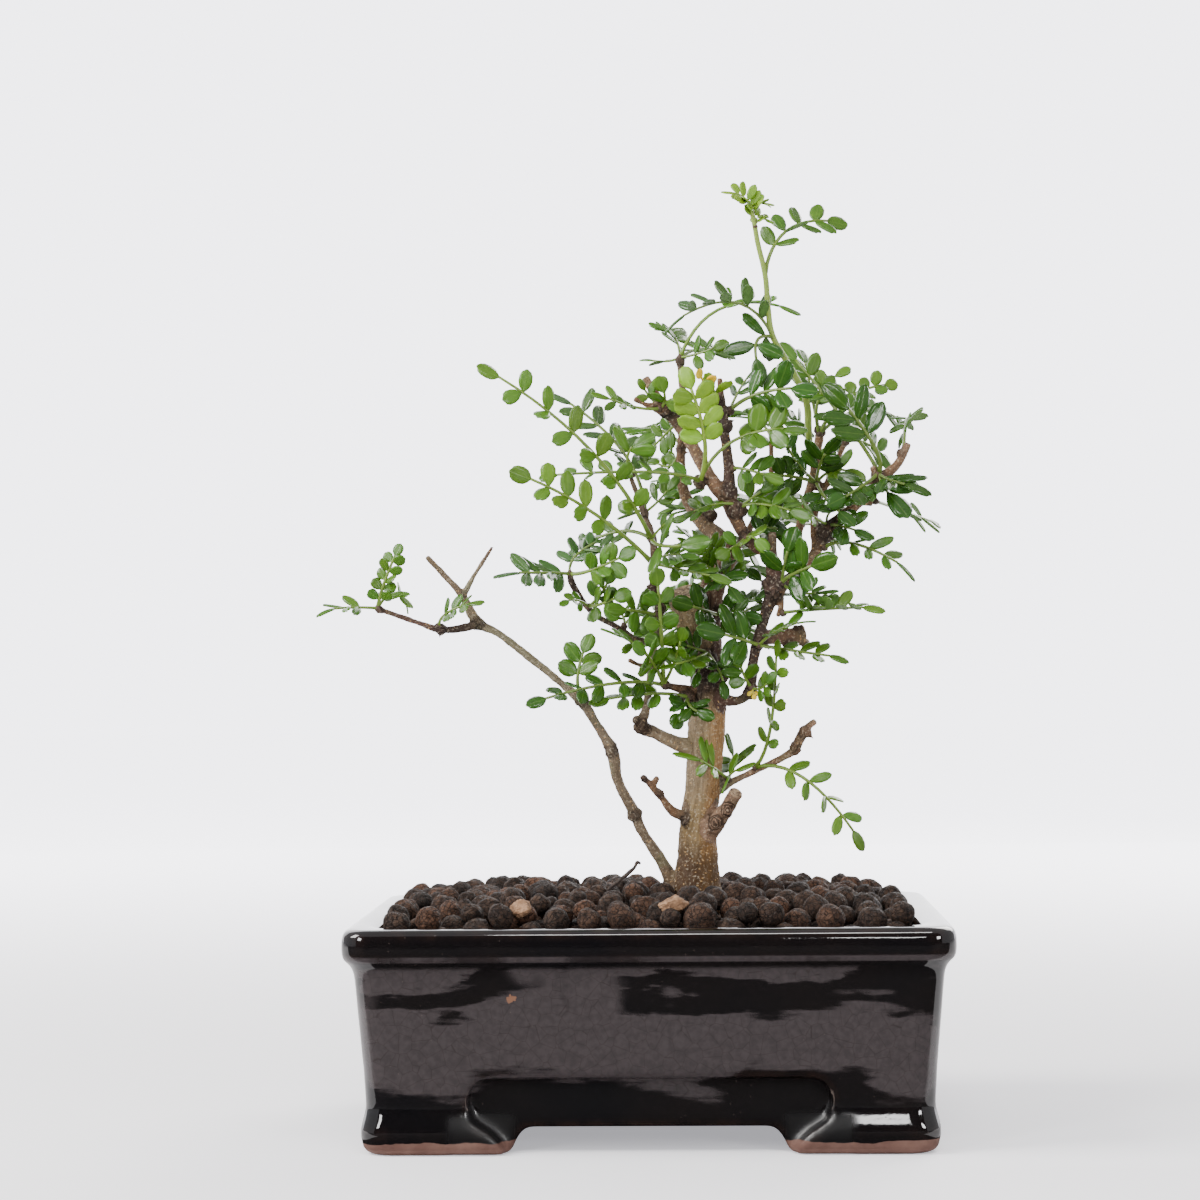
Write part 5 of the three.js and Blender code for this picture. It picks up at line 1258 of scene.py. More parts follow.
warts = place_group(nodes, links, speckle, here, density=900.0, size=0.2).outputs["Mask"]
colour = blend(nodes, links, sum_of(nodes, links, warts, 0.6, "MULTIPLY"), colour, (0.03, 0.02, 0.016))
splits = nodes.new("ShaderNodeTexVoronoi")
splits.feature = "DISTANCE_TO_EDGE"
splits.inputs["Scale"].default_value = 1
split_place = nodes.new("ShaderNodeMapping")
split_place.inputs["Scale"].default_value = (110, 480, 480)
links.new(limb_place, split_place.inputs["Vector"])
links.new(split_place.outputs["Vector"], splits.inputs["Vector"])
split_mask = graded(nodes, links, splits.outputs["Distance"], 0.0, 0.07, 1, 0)
split_mask = sum_of(nodes, links, split_mask, graded(nodes, links, patches, 0.42, 0.6), "MULTIPLY")
split_mask = sum_of(nodes, links, split_mask, graded(nodes, links, cork, 0, 0.8, 0.12, 1), "MULTIPLY")
colour = blend(nodes, links, sum_of(nodes, links, split_mask, 0.8, "MULTIPLY"), colour, (0.018, 0.012, 0.01))
cut_mask = point_value(nodes, "fresh_cut")
cut_colour = blend(nodes, links, graded(nodes, links, cloud(nodes, links, here, 700, 4), 0.4, 0.65), CUT_WOOD,
                   (0.14, 0.09, 0.055))
colour = blend(nodes, links, cut_mask, colour, cut_colour)
ring_place = point_value(nodes, "ring_place")
ring_wander = graded(nodes, links, cloud(nodes, links, here, 330, 3), 0.3, 0.7, -0.6, 0.6)
rings = sum_of(nodes, links, ring_place, ring_wander)
rings = sum_of(nodes, links, rings, 2 * math.pi / RING_SPACING, "MULTIPLY")
rings = sum_of(nodes, links, rings, 0.0, "COSINE")
rings = graded(nodes, links, rings, -0.2, 0.8, 1, 0)
rings = sum_of(nodes, links, rings, graded(nodes, links, ring_place, 2.8, 3.6, 1, 0), "MULTIPLY")
ring_shade = sum_of(nodes, links, rings, graded(nodes, links, cut_mask, 0, 1, 0.85, 0.35), "MULTIPLY")
colour = blend(nodes, links, ring_shade, colour, (0.035, 0.02, 0.013))
links.new(colour, shader.inputs["Base Color"])
uneven_roughness(nodes, links, shader, here, 420, 0.6, 0.92)
bark_height = sum_of(nodes, links, fibre, sum_of(nodes, links, lenticels, 0.5, "MULTIPLY"))
bark_height = sum_of(nodes, links, bark_height, sum_of(nodes, links, split_mask, 1.2, "MULTIPLY"), "SUBTRACT")
bark_height = sum_of(nodes, links, bark_height, cloud(nodes, links, here, 1500, 5))
bark_height = sum_of(nodes, links, bark_height, rings, "SUBTRACT")
links.new(relief(nodes, links, bark_height, 0.8, 0.5 * MM), shader.inputs["Normal"])
shader.inputs["Specular IOR Level"].default_value = 0.22
wood.data.materials.append(bark)
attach(wood, "root")
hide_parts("wood")

# The leaves: each spray springs from one bud. A leaf has a thin, flattened stalk, pairs of small leathery
# leaflets and one at the end; each leaflet is an oval with a sunken midrib, glossy above and paler below.

# A leaf is a tone, the places of its middle and tip, its pairs, the length and width of its leaflets, its
# turn (0 faces the front, 90 faces up), the fold of its leaflets and the bare share of its stalk.
# Tones: y young, l light, b bright, m middling, d dark, g greyish, a autumn yellow.
SPRAYS = {
    "left_twig_tip": ((-94.6, 179.4, -45.5), [
        ("m", (-92.4, 188, -47), (-86.5, 202, -48), 5, 4.9, 3.3, 12, 12, 0.12),
        ("m", (-105, 179.7, -52), (-116.3, 178.7, -60), 2, 8, 2.8, 70, 8, 0.25),
        ("l", (-88.5, 184.6, -40), (-82.5, 178, -34), 3, 6.5, 3.2, 60, 10, 0.2),
    ]),
    "left_twig_knot": ((-73.2, 173, -37), [
        ("m", (-69.5, 178, -42), (-57.5, 182, -46), 3, 6.5, 3, 55, 12, 0.25),
    ]),
    "slender_elbow": ((-23.8, 148, -17.5), [
        ("m", (-24.6, 157, -16), (-20, 170, -15), 2, 8, 5.4, 12, 8, 0.32),
    ]),
    "left_spur_tip": ((5, 151.8, -12.4), [
        ("d", (-15, 152, -25), (-43, 145.2, -36), 5, 8, 4, 50, 12, 0.15),
        ("m", (-2, 163.5, -24), (-16.5, 172, -31), 2, 9, 2.6, 70, 8, 0.62),
        ("m", (4.5, 170, -25), (3, 192.5, -34), 3, 7, 5, 15, 12, 0.35),
        ("m", (9, 160, -19), (12, 171, -28), 2, 6, 4, 30, 12, 0.3),
        ("m", (1, 160, -26), (-4, 166, -36), 3, 7.6, 4.6, 30, 12, 0.35),
    ]),
    "trunk_left": ((13.6, 147.4, -9), [
        ("m", (-1, 148.6, -16), (-21, 145.6, -24), 3, 8, 4.2, 62, 12, 0.3),
        ("d", (15, 143.5, -15), (22.5, 140, -19), 2, 7.5, 4.8, 5, 14, 0.2),
        ("d", (11.5, 143, -14), (8.5, 136.5, -18), 1, 6.5, 4.6, 5, 14, 0.2),
    ]),
    "right_twig_foot": ((27.2, 118.8, -0.6), [
        ("l", (20.5, 123.6, -10), (9.5, 129.8, -16), 2, 11, 3, 60, 16, 0.35),
        ("m", (29, 126, 6), (27.4, 135, 10), 2, 9.6, 3.4, 50, 12, 0.25),
        ("l", (29.5, 121.5, -8), (36.5, 124.6, -11), 1, 8.6, 3.2, 62, 12, 0.2),
    ]),
    "right_twig_fork": ((36.6, 122.8, -1.2), [
        ("l", (55, 117.8, -8), (74.6, 93.8, -12), 4, 8.6, 3.4, 45, 12, 0.22),
        ("l", (42.2, 137, -8), (44.5, 167, -19), 5, 7, 3.6, 60, 14, 0.2),
    ]),
    "front_stem_foot": ((35.6, 150.5, -11.2), [
        ("m", (39.5, 150.5, -15), (43.5, 155.5, -19), 2, 5.6, 3, 30, 12, 0.2),
        ("m", (32.6, 156, -15), (31, 162.4, -18), 1, 6.2, 4.2, 10, 12, 0.2),
        ("a", (36.2, 148.8, -12.4), (36.8, 146.2, -13.2), 1, 2.2, 1.5, 10, 10, 0.3),
    ]),
    "front_stem_right": ((38.4, 165.2, -13.2), [
        ("m", (54, 162.6, -19), (69.6, 160.4, -24), 3, 7.6, 3.6, 55, 14, 0.25),
        ("m", (46, 170.6, -20), (58, 174.4, -26), 3, 7.4, 4, 74, 14, 0.2),
        ("d", (30, 168, -20), (17.5, 171.5, -28), 2, 12, 6.4, 10, 12, 0.2),
    ]),
    "front_spur": ((46.8, 176.4, -14), [
        ("l", (59, 177.4, -17), (82.3, 178.2, -22), 5, 8.4, 4, 80, 34, 0.14),
    ]),
    "front_knot": ((46.6, 186.6, -13.4), [
        ("d", (52, 190.5, -20), (65.5, 195.4, -30), 2, 11.6, 6.2, 12, 12, 0.22),
        ("d", (48, 195, -19), (51, 206, -23), 1, 9.6, 6, 5, 10, 0.2),
        ("d", (40.5, 187, -7), (35, 192.5, -4), 1, 7.4, 4.4, 15, 12, 0.2),
        ("m", (55, 183, -14), (66, 185, -16), 3, 8.6, 4.6, 50, 14, 0.25),
    ]),
    "right_branch_foot": ((61.5, 199, 0.6), [
        ("m", (74, 199.6, -3), (94, 188.8, -8), 3, 9.6, 3, 60, 12, 0.25),
    ]),
    "right_branch_knot": ((62.6, 207, 1.4), [
        ("d", (70.5, 205.5, -5), (79, 202, -8), 2, 8.6, 4.2, 30, 12, 0.2),
        ("l", (56, 211, -6), (46.5, 218.4, -11), 3, 7.4, 3.2, 50, 12, 0.28),
        ("l", (64, 211.6, 5), (71, 213.6, 10), 1, 8, 3.2, 60, 12, 0.3),
    ]),
    "right_branch_crook": ((80.6, 224.6, 6.2), [
        ("d", (73, 219, -1), (62.8, 213.5, -8), 2, 9.4, 4.8, 15, 12, 0.3),
        ("d", (86.5, 221.6, 0), (98.8, 219, -6), 2, 11, 4.2, 40, 10, 0.15),
        ("d", (84, 217.5, 0), (91, 210.5, -6), 1, 13.5, 6.2, 5, 8, 0.2),
        ("d", (78.2, 236, 1), (62.5, 256.5, -3), 2, 13.8, 5.6, 18, 8, 0.38),
        ("m", (70.5, 241, 13), (47, 271, 24), 4, 10, 4.6, 25, 14, 0.25),
    ]),
    "right_branch_nub": ((79.4, 215, 8.6), [
        ("m", (88.5, 211.6, 40), (102, 206.4, 74), 3, 9, 3.4, 60, 12, 0.4),
    ]),
    "right_branch_tip": ((89.5, 233, 8.8), [
        ("m", (90.5, 243, 30), (92, 241, 50), 4, 8, 4, 62, 12, 0.2),
    ]),
    "inner_top": ((59, 221.6, 17), [
        ("l", (66.5, 226, 13), (76, 222.4, 8), 2, 9.6, 5, 28, 12, 0.25),
        ("d", (49, 224, 12), (38.5, 223.8, 6), 3, 7.6, 5, 12, 12, 0.2),
        ("d", (50.5, 231.5, 9), (47, 242.5, 4), 4, 7.4, 3, 62, 12, 0.2),
        ("d", (61.5, 230.5, 12), (67.5, 237, 7), 2, 9.4, 5, 8, 12, 0.25),
        ("d", (64, 214, 0), (72, 208, -10), 3, 9, 5.2, 25, 12, 0.25),
    ]),
    "inner_tip": ((60.2, 238.6, 27.6), [
        ("l", (60.6, 252, 26), (71, 262, 24), 2, 7, 3.8, 30, 14, 0.4),
        ("l", (71, 251.5, 30), (88, 255.6, 36), 4, 6, 4, 28, 26, 0.35),
        ("m", (57, 256, 36), (54.6, 269, 46), 3, 9, 4.8, 40, 14, 0.3),
        ("m", (76, 247, 42), (91, 241, 58), 4, 8, 3.8, 60, 12, 0.25),
    ]),
    "inner_twig_tip": ((69.4, 235.6, 26.6), [
        ("m", (77, 234.8, 34), (86, 227, 44), 3, 8, 4, 45, 12, 0.3),
        ("m", (66, 230, 38), (62, 221, 54), 4, 8, 4, 60, 12, 0.25),
    ]),
    "back_twig_tip": ((43.5, 237.8, 35.6), [
        ("m", (50, 243, 44), (58, 238, 58), 4, 8.4, 4, 60, 12, 0.25),
        ("m", (37, 245, 44), (28, 246, 56), 4, 8.4, 4, 62, 12, 0.25),
    ]),
    "crown_middle_nub": ((29, 247, -11.5), [
        ("d", (41, 253.4, -18), (59.4, 254.4, -26), 3, 10.4, 5.8, 18, 10, 0.24),
        ("d", (33, 255, -9), (38.5, 262.4, -6), 2, 6.6, 3, 50, 12, 0.3),
    ]),
    "crown_middle_tip": ((24.6, 251.5, -12), [
        ("y", (23.5, 254.5, -16), (20.8, 260, -20), 1, 7.4, 4.6, 8, 12, 0.2),
        ("a", (20.8, 256, -20), (18.4, 261.4, -27), 1, 4.6, 3, 15, 10, 0.5),
    ]),
    "crown_middle_low": ((30, 227, -10), [
        ("m", (36.5, 226, -16), (47.5, 222, -20), 3, 8.2, 4.2, 25, 12, 0.2),
    ]),
    "crown_left_fork": ((18.4, 222.6, -10.4), [
        ("m", (32, 237.4, -17), (56, 240, -26), 3, 9.4, 6.4, 40, 12, 0.45),
        ("y", (20, 239, -18), (12.6, 262.4, -24), 4, 8.8, 5.2, 6, 14, 0.36),
        ("m", (0, 226, -21), (-38, 225, -24), 7, 7.4, 3.6, 60, 14, 0.1),
    ]),
    "crown_left_knot": ((5, 248.3, -13), [
        ("m", (-5, 249, -17), (-18.8, 254.6, -22), 3, 7.6, 2.6, 62, 12, 0.35),
        ("l", (6.5, 252.5, -17), (4, 259, -21), 1, 7, 4.8, 5, 12, 0.2),
        ("l", (0, 254, -12), (-2, 258.6, -14), 1, 5, 2.6, 20, 12, 0.4),
    ]),
    "crown_left_low": ((11.4, 243.6, -6.6), [
        ("m", (5.5, 238, 0), (-3, 229.5, 5), 3, 6.8, 3.8, 35, 12, 0.2),
    ]),
    "crown_back_tip": ((12, 266, 13.5), [
        ("b", (28, 283.5, 20), (54.6, 281, 25), 3, 9.4, 3.6, 55, 18, 0.45),
        ("m", (19, 267.4, 8), (29, 271, 4), 2, 6.6, 3.4, 30, 12, 0.3),
        ("m", (6, 264.6, 19), (-2, 266.2, 26), 1, 7, 2.6, 60, 12, 0.3),
        ("m", (10, 273, 26), (4, 277, 40), 4, 8.2, 4, 60, 12, 0.25),
        ("m", (21, 269, 28), (30, 266, 42), 4, 8.2, 4, 60, 12, 0.25),
    ]),
    "crown_back_middle": ((11.6, 236, 18.4), [
        ("m", (3, 241, 28), (-8, 240, 42), 4, 8.4, 4.2, 62, 12, 0.25),
        ("m", (18, 242, 30), (26, 240, 46), 4, 8.4, 4.2, 62, 12, 0.25),
        ("m", (8, 228, 24), (0, 232, 34), 3, 8.2, 4.6, 45, 12, 0.25),
    ]),
    "left_top": ((-5.4, 225.2, -17), [
        ("m", (-6, 233.5, -19), (2.4, 239.4, -22), 1, 10, 4.4, 20, 10, 0.4),
    ]),
    "left_upper": ((-0.8, 212, -13), [
        ("g", (-9.4, 234.6, -4), (-33.6, 254.8, 8), 5, 10.4, 4.8, 44, 12, 0.26),
        ("m", (5, 217, -13), (11, 225, -14), 2, 7.4, 3.4, 40, 12, 0.3),
        ("m", (-4.5, 213, -8), (-10.5, 215, -4), 1, 8.4, 4.4, 30, 12, 0.2),
    ]),
    "left_middle": ((1.4, 202.5, -17.2), [
        ("l", (-22, 236.4, -36), (-59, 264.4, -48), 6, 9.2, 4.7, 28, 26, 0.14),
        ("g", (-12, 205, -10), (-29.5, 195.6, 0), 4, 7.4, 3.6, 50, 12, 0.24),
        ("m", (7.4, 200, -28), (22, 202, -34), 1, 12, 5.2, 5, 10, 0.25),
        ("m", (6.5, 208, -22), (12.5, 210, -26), 1, 5.6, 3, 40, 12, 0.3),
    ]),
    "left_lower": ((1.4, 194.4, -15.6), [
        ("l", (-21, 213.4, -30), (-48, 227, -42), 4, 8.8, 4.8, 24, 26, 0.36),
        ("m", (13, 191.4, -22), (29, 188.4, -28), 3, 8.6, 3.4, 65, 12, 0.25),
        ("m", (8, 197, -18), (18, 196, -22), 3, 8, 4.2, 60, 14, 0.25),
    ]),
    "left_low": ((2.6, 176.2, -13.4), [
        ("m", (-4.5, 177.6, -23), (-13.8, 178.6, -32), 2, 9, 4.2, 15, 12, 0.2),
        ("m", (1, 171.5, -17), (-5, 170.2, -20), 1, 9, 3.6, 20, 10, 0.15),
    ]),
    "dark_twig_tip": ((-27.2, 190.8, -17), [
        ("g", (-38.5, 191.2, -26), (-54, 191.4, -34), 4, 10.6, 3.8, 56, 12, 0.1),
        ("g", (-24, 198, -13), (-11, 204.5, -8), 4, 9, 3.8, 54, 12, 0.2),
        ("m", (-19, 192.2, -24), (-4.4, 199, -31), 3, 7.4, 5, 14, 12, 0.32),
    ]),
    "dark_twig_elbow": ((-20.8, 179.2, -13), [
        ("m", (-15, 180.6, -22), (-6.6, 184.4, -27), 2, 7, 4.8, 12, 12, 0.2),
        ("m", (-25.5, 181.6, -20), (-31, 180, -24), 2, 4.4, 2.6, 45, 12, 0.3),
        ("m", (-15.5, 185, -18), (-12.5, 192.6, -22), 2, 7, 5, 14, 12, 0.25),
    ]),
    "dark_twig_low": ((-8.6, 172.4, -4.6), [
        ("m", (-9, 176, -3), (-13, 181, 2), 2, 7, 3.4, 30, 12, 0.2),
        ("m", (-3, 178, -6), (5, 182, -8), 3, 8, 4.4, 50, 14, 0.25),
    ]),
    "trunk_top_front": ((24.6, 190, -1), [
        ("d", (25.5, 189, -15), (32.5, 181, -26), 2, 9, 4.6, 20, 16, 0.2),
        ("m", (20.5, 193, -9), (14.5, 197.4, -14), 2, 7.6, 4, 10, 12, 0.3),
        ("m", (28.5, 190, -8), (34, 194.5, -13), 1, 7.4, 4.6, 12, 12, 0.2),
        ("m", (22, 198, -8), (16, 206, -10), 3, 8.2, 4.8, 40, 14, 0.3),
    ]),
    "trunk_middle_front": ((24, 176, -3.4), [
        ("d", (30, 176, -10), (39.5, 174, -14), 2, 8, 4.2, 15, 12, 0.2),
        ("d", (17, 178.4, -18), (8.5, 181, -23), 2, 9, 4.6, 15, 12, 0.3),
        ("m", (36, 181, -4), (50, 184, -2), 4, 8.2, 4.6, 60, 16, 0.25),
    ]),
    "trunk_low_front": ((20.4, 163, -7), [
        ("d", (14, 165, -12), (7.5, 168, -14), 2, 7.4, 4.8, 10, 12, 0.25),
        ("d", (24.6, 156, -14), (27.4, 147.4, -20), 2, 7.4, 3.6, 35, 12, 0.25),
        ("d", (17.8, 157.5, -14), (15.4, 151, -18), 1, 6.6, 3.2, 30, 12, 0.25),
        ("m", (14, 160, -18), (3, 158, -26), 3, 8, 4.6, 55, 12, 0.25),
    ]),
    "fork_stem": ((34.4, 202.6, -11.6), [
        ("l", (37, 202.6, -16), (41.6, 198.6, -20), 1, 7, 4.2, 35, 12, 0.2),
        ("m", (30, 199.5, -15), (24.6, 196.4, -20), 1, 6.4, 4.6, 5, 12, 0.3),
        ("d", (42, 206, -6), (53, 203, -4), 3, 9.2, 5.2, 35, 12, 0.25),
    ]),
    "fork_stem_top": ((32.4, 213.4, -9), [
        ("m", (42, 214, -15), (57, 209.4, -20), 4, 8.6, 4, 35, 12, 0.15),
        ("m", (38, 217.6, -12), (46, 223, -16), 1, 9, 4, 15, 12, 0.25),
        ("m", (24, 214.4, -10), (10, 209.4, -8), 3, 7.6, 3, 60, 12, 0.25),
        ("d", (40, 210, -4), (50, 206, 2), 3, 8.8, 5, 35, 12, 0.25),
    ]),
    "crown_back_low": ((19.4, 209.4, 14), [
        ("m", (14, 213, 28), (4, 212, 46), 5, 8.4, 4.2, 62, 12, 0.2),
        ("m", (26, 215, 28), (36, 217, 44), 4, 8.4, 4.2, 62, 12, 0.2),
        ("m", (12, 220, 28), (2, 224, 40), 4, 8.2, 4.6, 50, 12, 0.25),
    ]),
    "trunk_top_back": ((24, 190, 9.6), [
        ("m", (16, 195, 24), (4, 194, 42), 4, 8.8, 4.4, 62, 12, 0.2),
        ("m", (32, 193, 26), (44, 190, 46), 5, 8.6, 4.2, 62, 12, 0.2),
        ("m", (18, 200, 26), (10, 207, 40), 4, 8.4, 4.8, 50, 12, 0.2),
        ("m", (34, 199, 26), (44, 204, 40), 4, 8.4, 4.8, 50, 12, 0.2),
        ("m", (12, 184, 26), (0, 180, 40), 4, 8.4, 4.8, 55, 12, 0.2),
    ]),
    "trunk_low_back": ((20.4, 168, 8), [
        ("m", (10, 172, 20), (-6, 168, 36), 4, 8.8, 4.4, 62, 12, 0.2),
        ("m", (30, 171, 20), (46, 166, 36), 4, 8.6, 4.2, 62, 12, 0.2),
        ("m", (14, 178, 22), (4, 184, 34), 4, 8.2, 4.6, 50, 12, 0.2),
        ("m", (32, 176, 22), (42, 181, 34), 4, 8.2, 4.6, 50, 12, 0.2),
    ]),
    "inner_low": ((53.6, 207, 12.4), [
        ("m", (60, 206, 28), (68, 199, 44), 4, 8.6, 4.2, 62, 12, 0.2),
        ("m", (47, 208, 28), (42, 203, 44), 4, 8.4, 4.2, 62, 12, 0.2),
        ("m", (50, 216, 26), (42, 222, 38), 4, 8.2, 4.6, 50, 12, 0.25),
    ]),
}

LEAD_SHOOT = [
    (56.8, 229.5, 20.5),
    (56.4, 240, 15),
    (55.8, 250, 11),
    (52.5, 258, 8),
    (48, 266, 5.5),
    (44.2, 273.4, 4),
    (42.8, 283, 3),
    (42, 294, 2),
    (39.4, 306, 1),
    (38.4, 312, 0),
    (37, 318.4, -1),
]
LEAD_SHOOT_LEAVES = [
    ((44, 273.6, 4), ("g", (29, 285.2, -2), (5.5, 275.4, -8), 5, 10.4, 3.6, 80, 40, 0.12)),
    ((44.2, 272.6, 4), ("d", (38.4, 270, -5), (41, 256, -10), 2, 11, 4.8, 20, 10, 0.1)),
    ((42, 295.5, 2), ("m", (51.5, 311, 8), (71.2, 311.6, 18), 4, 9.4, 4.2, 34, 20, 0.22)),
    ((38.4, 313, 0), ("y", (35.5, 321, -1), (27, 324.2, -4), 6, 6, 3.4, 48, 24, 0.12)),
    ((37.6, 316.5, -0.5), ("y", (40, 319.4, 1), (45.6, 319, 3), 4, 5, 3, 50, 20, 0.1)),
    ((38.6, 311.5, 0), ("y", (41, 314, 1), (46, 312.2, 3), 3, 3.8, 2.2, 60, 20, 0.15)),
]

TONES = {
    "y": (0.165, 0.29, 0.012), "l": (0.08, 0.175, 0.01), "b": (0.068, 0.185, 0.006),
    "m": (0.052, 0.13, 0.006), "d": (0.025, 0.076, 0.006), "g": (0.042, 0.1, 0.02), "a": (0.62, 0.42, 0.015),
}
BLADE_THICKNESS = 0.03
BLADE_COLUMNS, BLADE_ROWS = 6, 4
TOP_COUNT = (BLADE_COLUMNS + 1) * (BLADE_ROWS + 1)
RIB_STEPS = 48
STALK_RINGS = 13
END_OVERLAP = 0.2


def leaflet_shape(name, widths, blunt, droop):
    """An oval leaflet one long, pointing along +X with its upper face up, and closed underneath."""
    deselect_all()
    bpy.ops.mesh.primitive_grid_add(x_subdivisions=BLADE_COLUMNS, y_subdivisions=BLADE_ROWS, size=1,
                                    location=(0, 0, 0))
    blade = bpy.context.object
    blade.name = name
    stations = [0.0, 0.07, 0.22, 0.46, 0.74, 0.94, 1.0]
    for vertex in blade.data.vertices:
        column, row = round((vertex.co.x + 0.5) * BLADE_COLUMNS), round((vertex.co.y + 0.5) * BLADE_ROWS)
        along, side = stations[column], row / (BLADE_ROWS / 2) - 1
        half = widths[column]
        edge = abs(side)
        along -= blunt * edge ** 2 * (0, -0.6, -0.4, 0, 0.3, 0.8, 1)[column]
        groove = -0.045 if edge == 0 else 0.025 if edge == 0.5 else -0.03
        groove *= 1 if 0 < column < BLADE_COLUMNS else 0.4
        vertex.co = (along, side * half, groove - droop * along ** 2)
    thickness = blade.modifiers.new("thickness", "SOLIDIFY")
    thickness.thickness = BLADE_THICKNESS
    thickness.offset = -1
    apply_modifiers(blade)
    write_point_values(blade, "underside", np.arange(len(blade.data.vertices)) >= TOP_COUNT)
    blade.data.attributes.new("leaf_colour", "FLOAT_COLOR", "POINT")
    blade.data.attributes.new("stalk", "FLOAT", "POINT")
    veins = blade.data.attributes.new("vein_place", "FLOAT_VECTOR", "POINT")
    veins.data.foreach_set("vector", [c for v in blade.data.vertices for c in (v.co.x, v.co.y, 0)])
    return blade


leaflets = [leaflet_shape("leaflet_oval", (0.06, 0.25, 0.42, 0.51, 0.48, 0.33, 0.19), 0.06, 0.1),
            leaflet_shape("leaflet_blunt", (0.05, 0.2, 0.37, 0.49, 0.52, 0.4, 0.26), 0.07, 0.16),
            leaflet_shape("leaflet_broad", (0.06, 0.29, 0.46, 0.54, 0.5, 0.35, 0.2), 0.06, 0.05),
            leaflet_shape("leaflet_curled", (0.05, 0.23, 0.4, 0.5, 0.47, 0.32, 0.18), 0.05, 0.26)]


def leaf_rib(bud, via, tip):
    """Places along the rib, and how far along it each of them is."""
    start, middle, end = on_sight(*bud), on_sight(*via), on_sight(*tip)
    bend = middle * 2 - start * 0.5 - end * 0.5
    shares = [k / RIB_STEPS for k in range(RIB_STEPS + 1)]
    raw = [start * (1 - t) ** 2 + bend * (2 * t * (1 - t)) + end * t * t for t in shares]
    reached = [0.0]
    for a, b in zip(raw, raw[1:]):
        reached.append(reached[-1] + (b - a).length)
    return raw, reached


def rib_frame(rib, share, turn):
    """The middle, direction, facing and crosswise direction of a rib at a share of its length."""
    raw, reached = rib
    want = min(max(share, 0), 1) * reached[-1]
    k = min(max(next((i for i, r in enumerate(reached) if r >= want), 1), 1), len(raw) - 1)
    t = (want - reached[k - 1]) / (reached[k] - reached[k - 1])
    centre = raw[k - 1].lerp(raw[k], t)
    along = (raw[k] - raw[k - 1]).normalized()
    front = Vector((0, -1, 0))
    front = (front - along * along.dot(front)).normalized()
    up = front.cross(along).normalized()
    if up.z < 0:
        up.negate()
    face = (front * math.cos(turn) + up * math.sin(turn)).normalized()
    return centre, along, face, face.cross(along).normalized()


class Spray:
    """One spray while it grows: stalks, leaflets and bud gathered into one mesh."""

    def __init__(self, name):
        self.name = name
        self.mesh = bmesh.new()
        self.mesh.verts.layers.float_color.new("leaf_colour")
        self.mesh.verts.layers.float.new("stalk")
        self.mesh.verts.layers.float.new("underside")
        self.mesh.verts.layers.float_vector.new("vein_place")

    def paint(self, vertices, colour, stalk):
        colour_layer = self.mesh.verts.layers.float_color["leaf_colour"]
        stalk_layer = self.mesh.verts.layers.float["stalk"]
        for vertex in vertices:
            vertex[colour_layer] = (*colour, 1)
            vertex[stalk_layer] = stalk

    def add_copy(self, pattern, matrix, colour, stalk):
        first = len(self.mesh.verts)
        self.mesh.from_mesh(pattern.data)
        self.mesh.verts.ensure_lookup_table()
        fresh = self.mesh.verts[first:]
        bmesh.ops.transform(self.mesh, matrix=matrix, verts=fresh)
        self.paint(fresh, colour, stalk)

    def add_tube(self, rings, colour, stalk):
        made = [[self.mesh.verts.new(p) for p in ring] for ring in rings]
        sides = len(rings[0])
        for a, b in zip(made, made[1:]):
            for k in range(sides):
                self.mesh.faces.new((a[k], a[(k + 1) % sides], b[(k + 1) % sides], b[k]))
        self.mesh.faces.new(made[0][::-1])
        self.mesh.faces.new(made[-1])
        self.paint([v for ring in made for v in ring], colour, stalk)

    def finished(self, finish):
        bmesh.ops.recalc_face_normals(self.mesh, faces=self.mesh.faces[:])
        mesh = bpy.data.meshes.new(self.name)
        self.mesh.to_mesh(mesh)
        self.mesh.free()
        shade_smooth(mesh)
        piece = bpy.data.objects.new(self.name, mesh)
        bpy.context.scene.collection.objects.link(piece)
        mesh.materials.append(finish)
        return piece


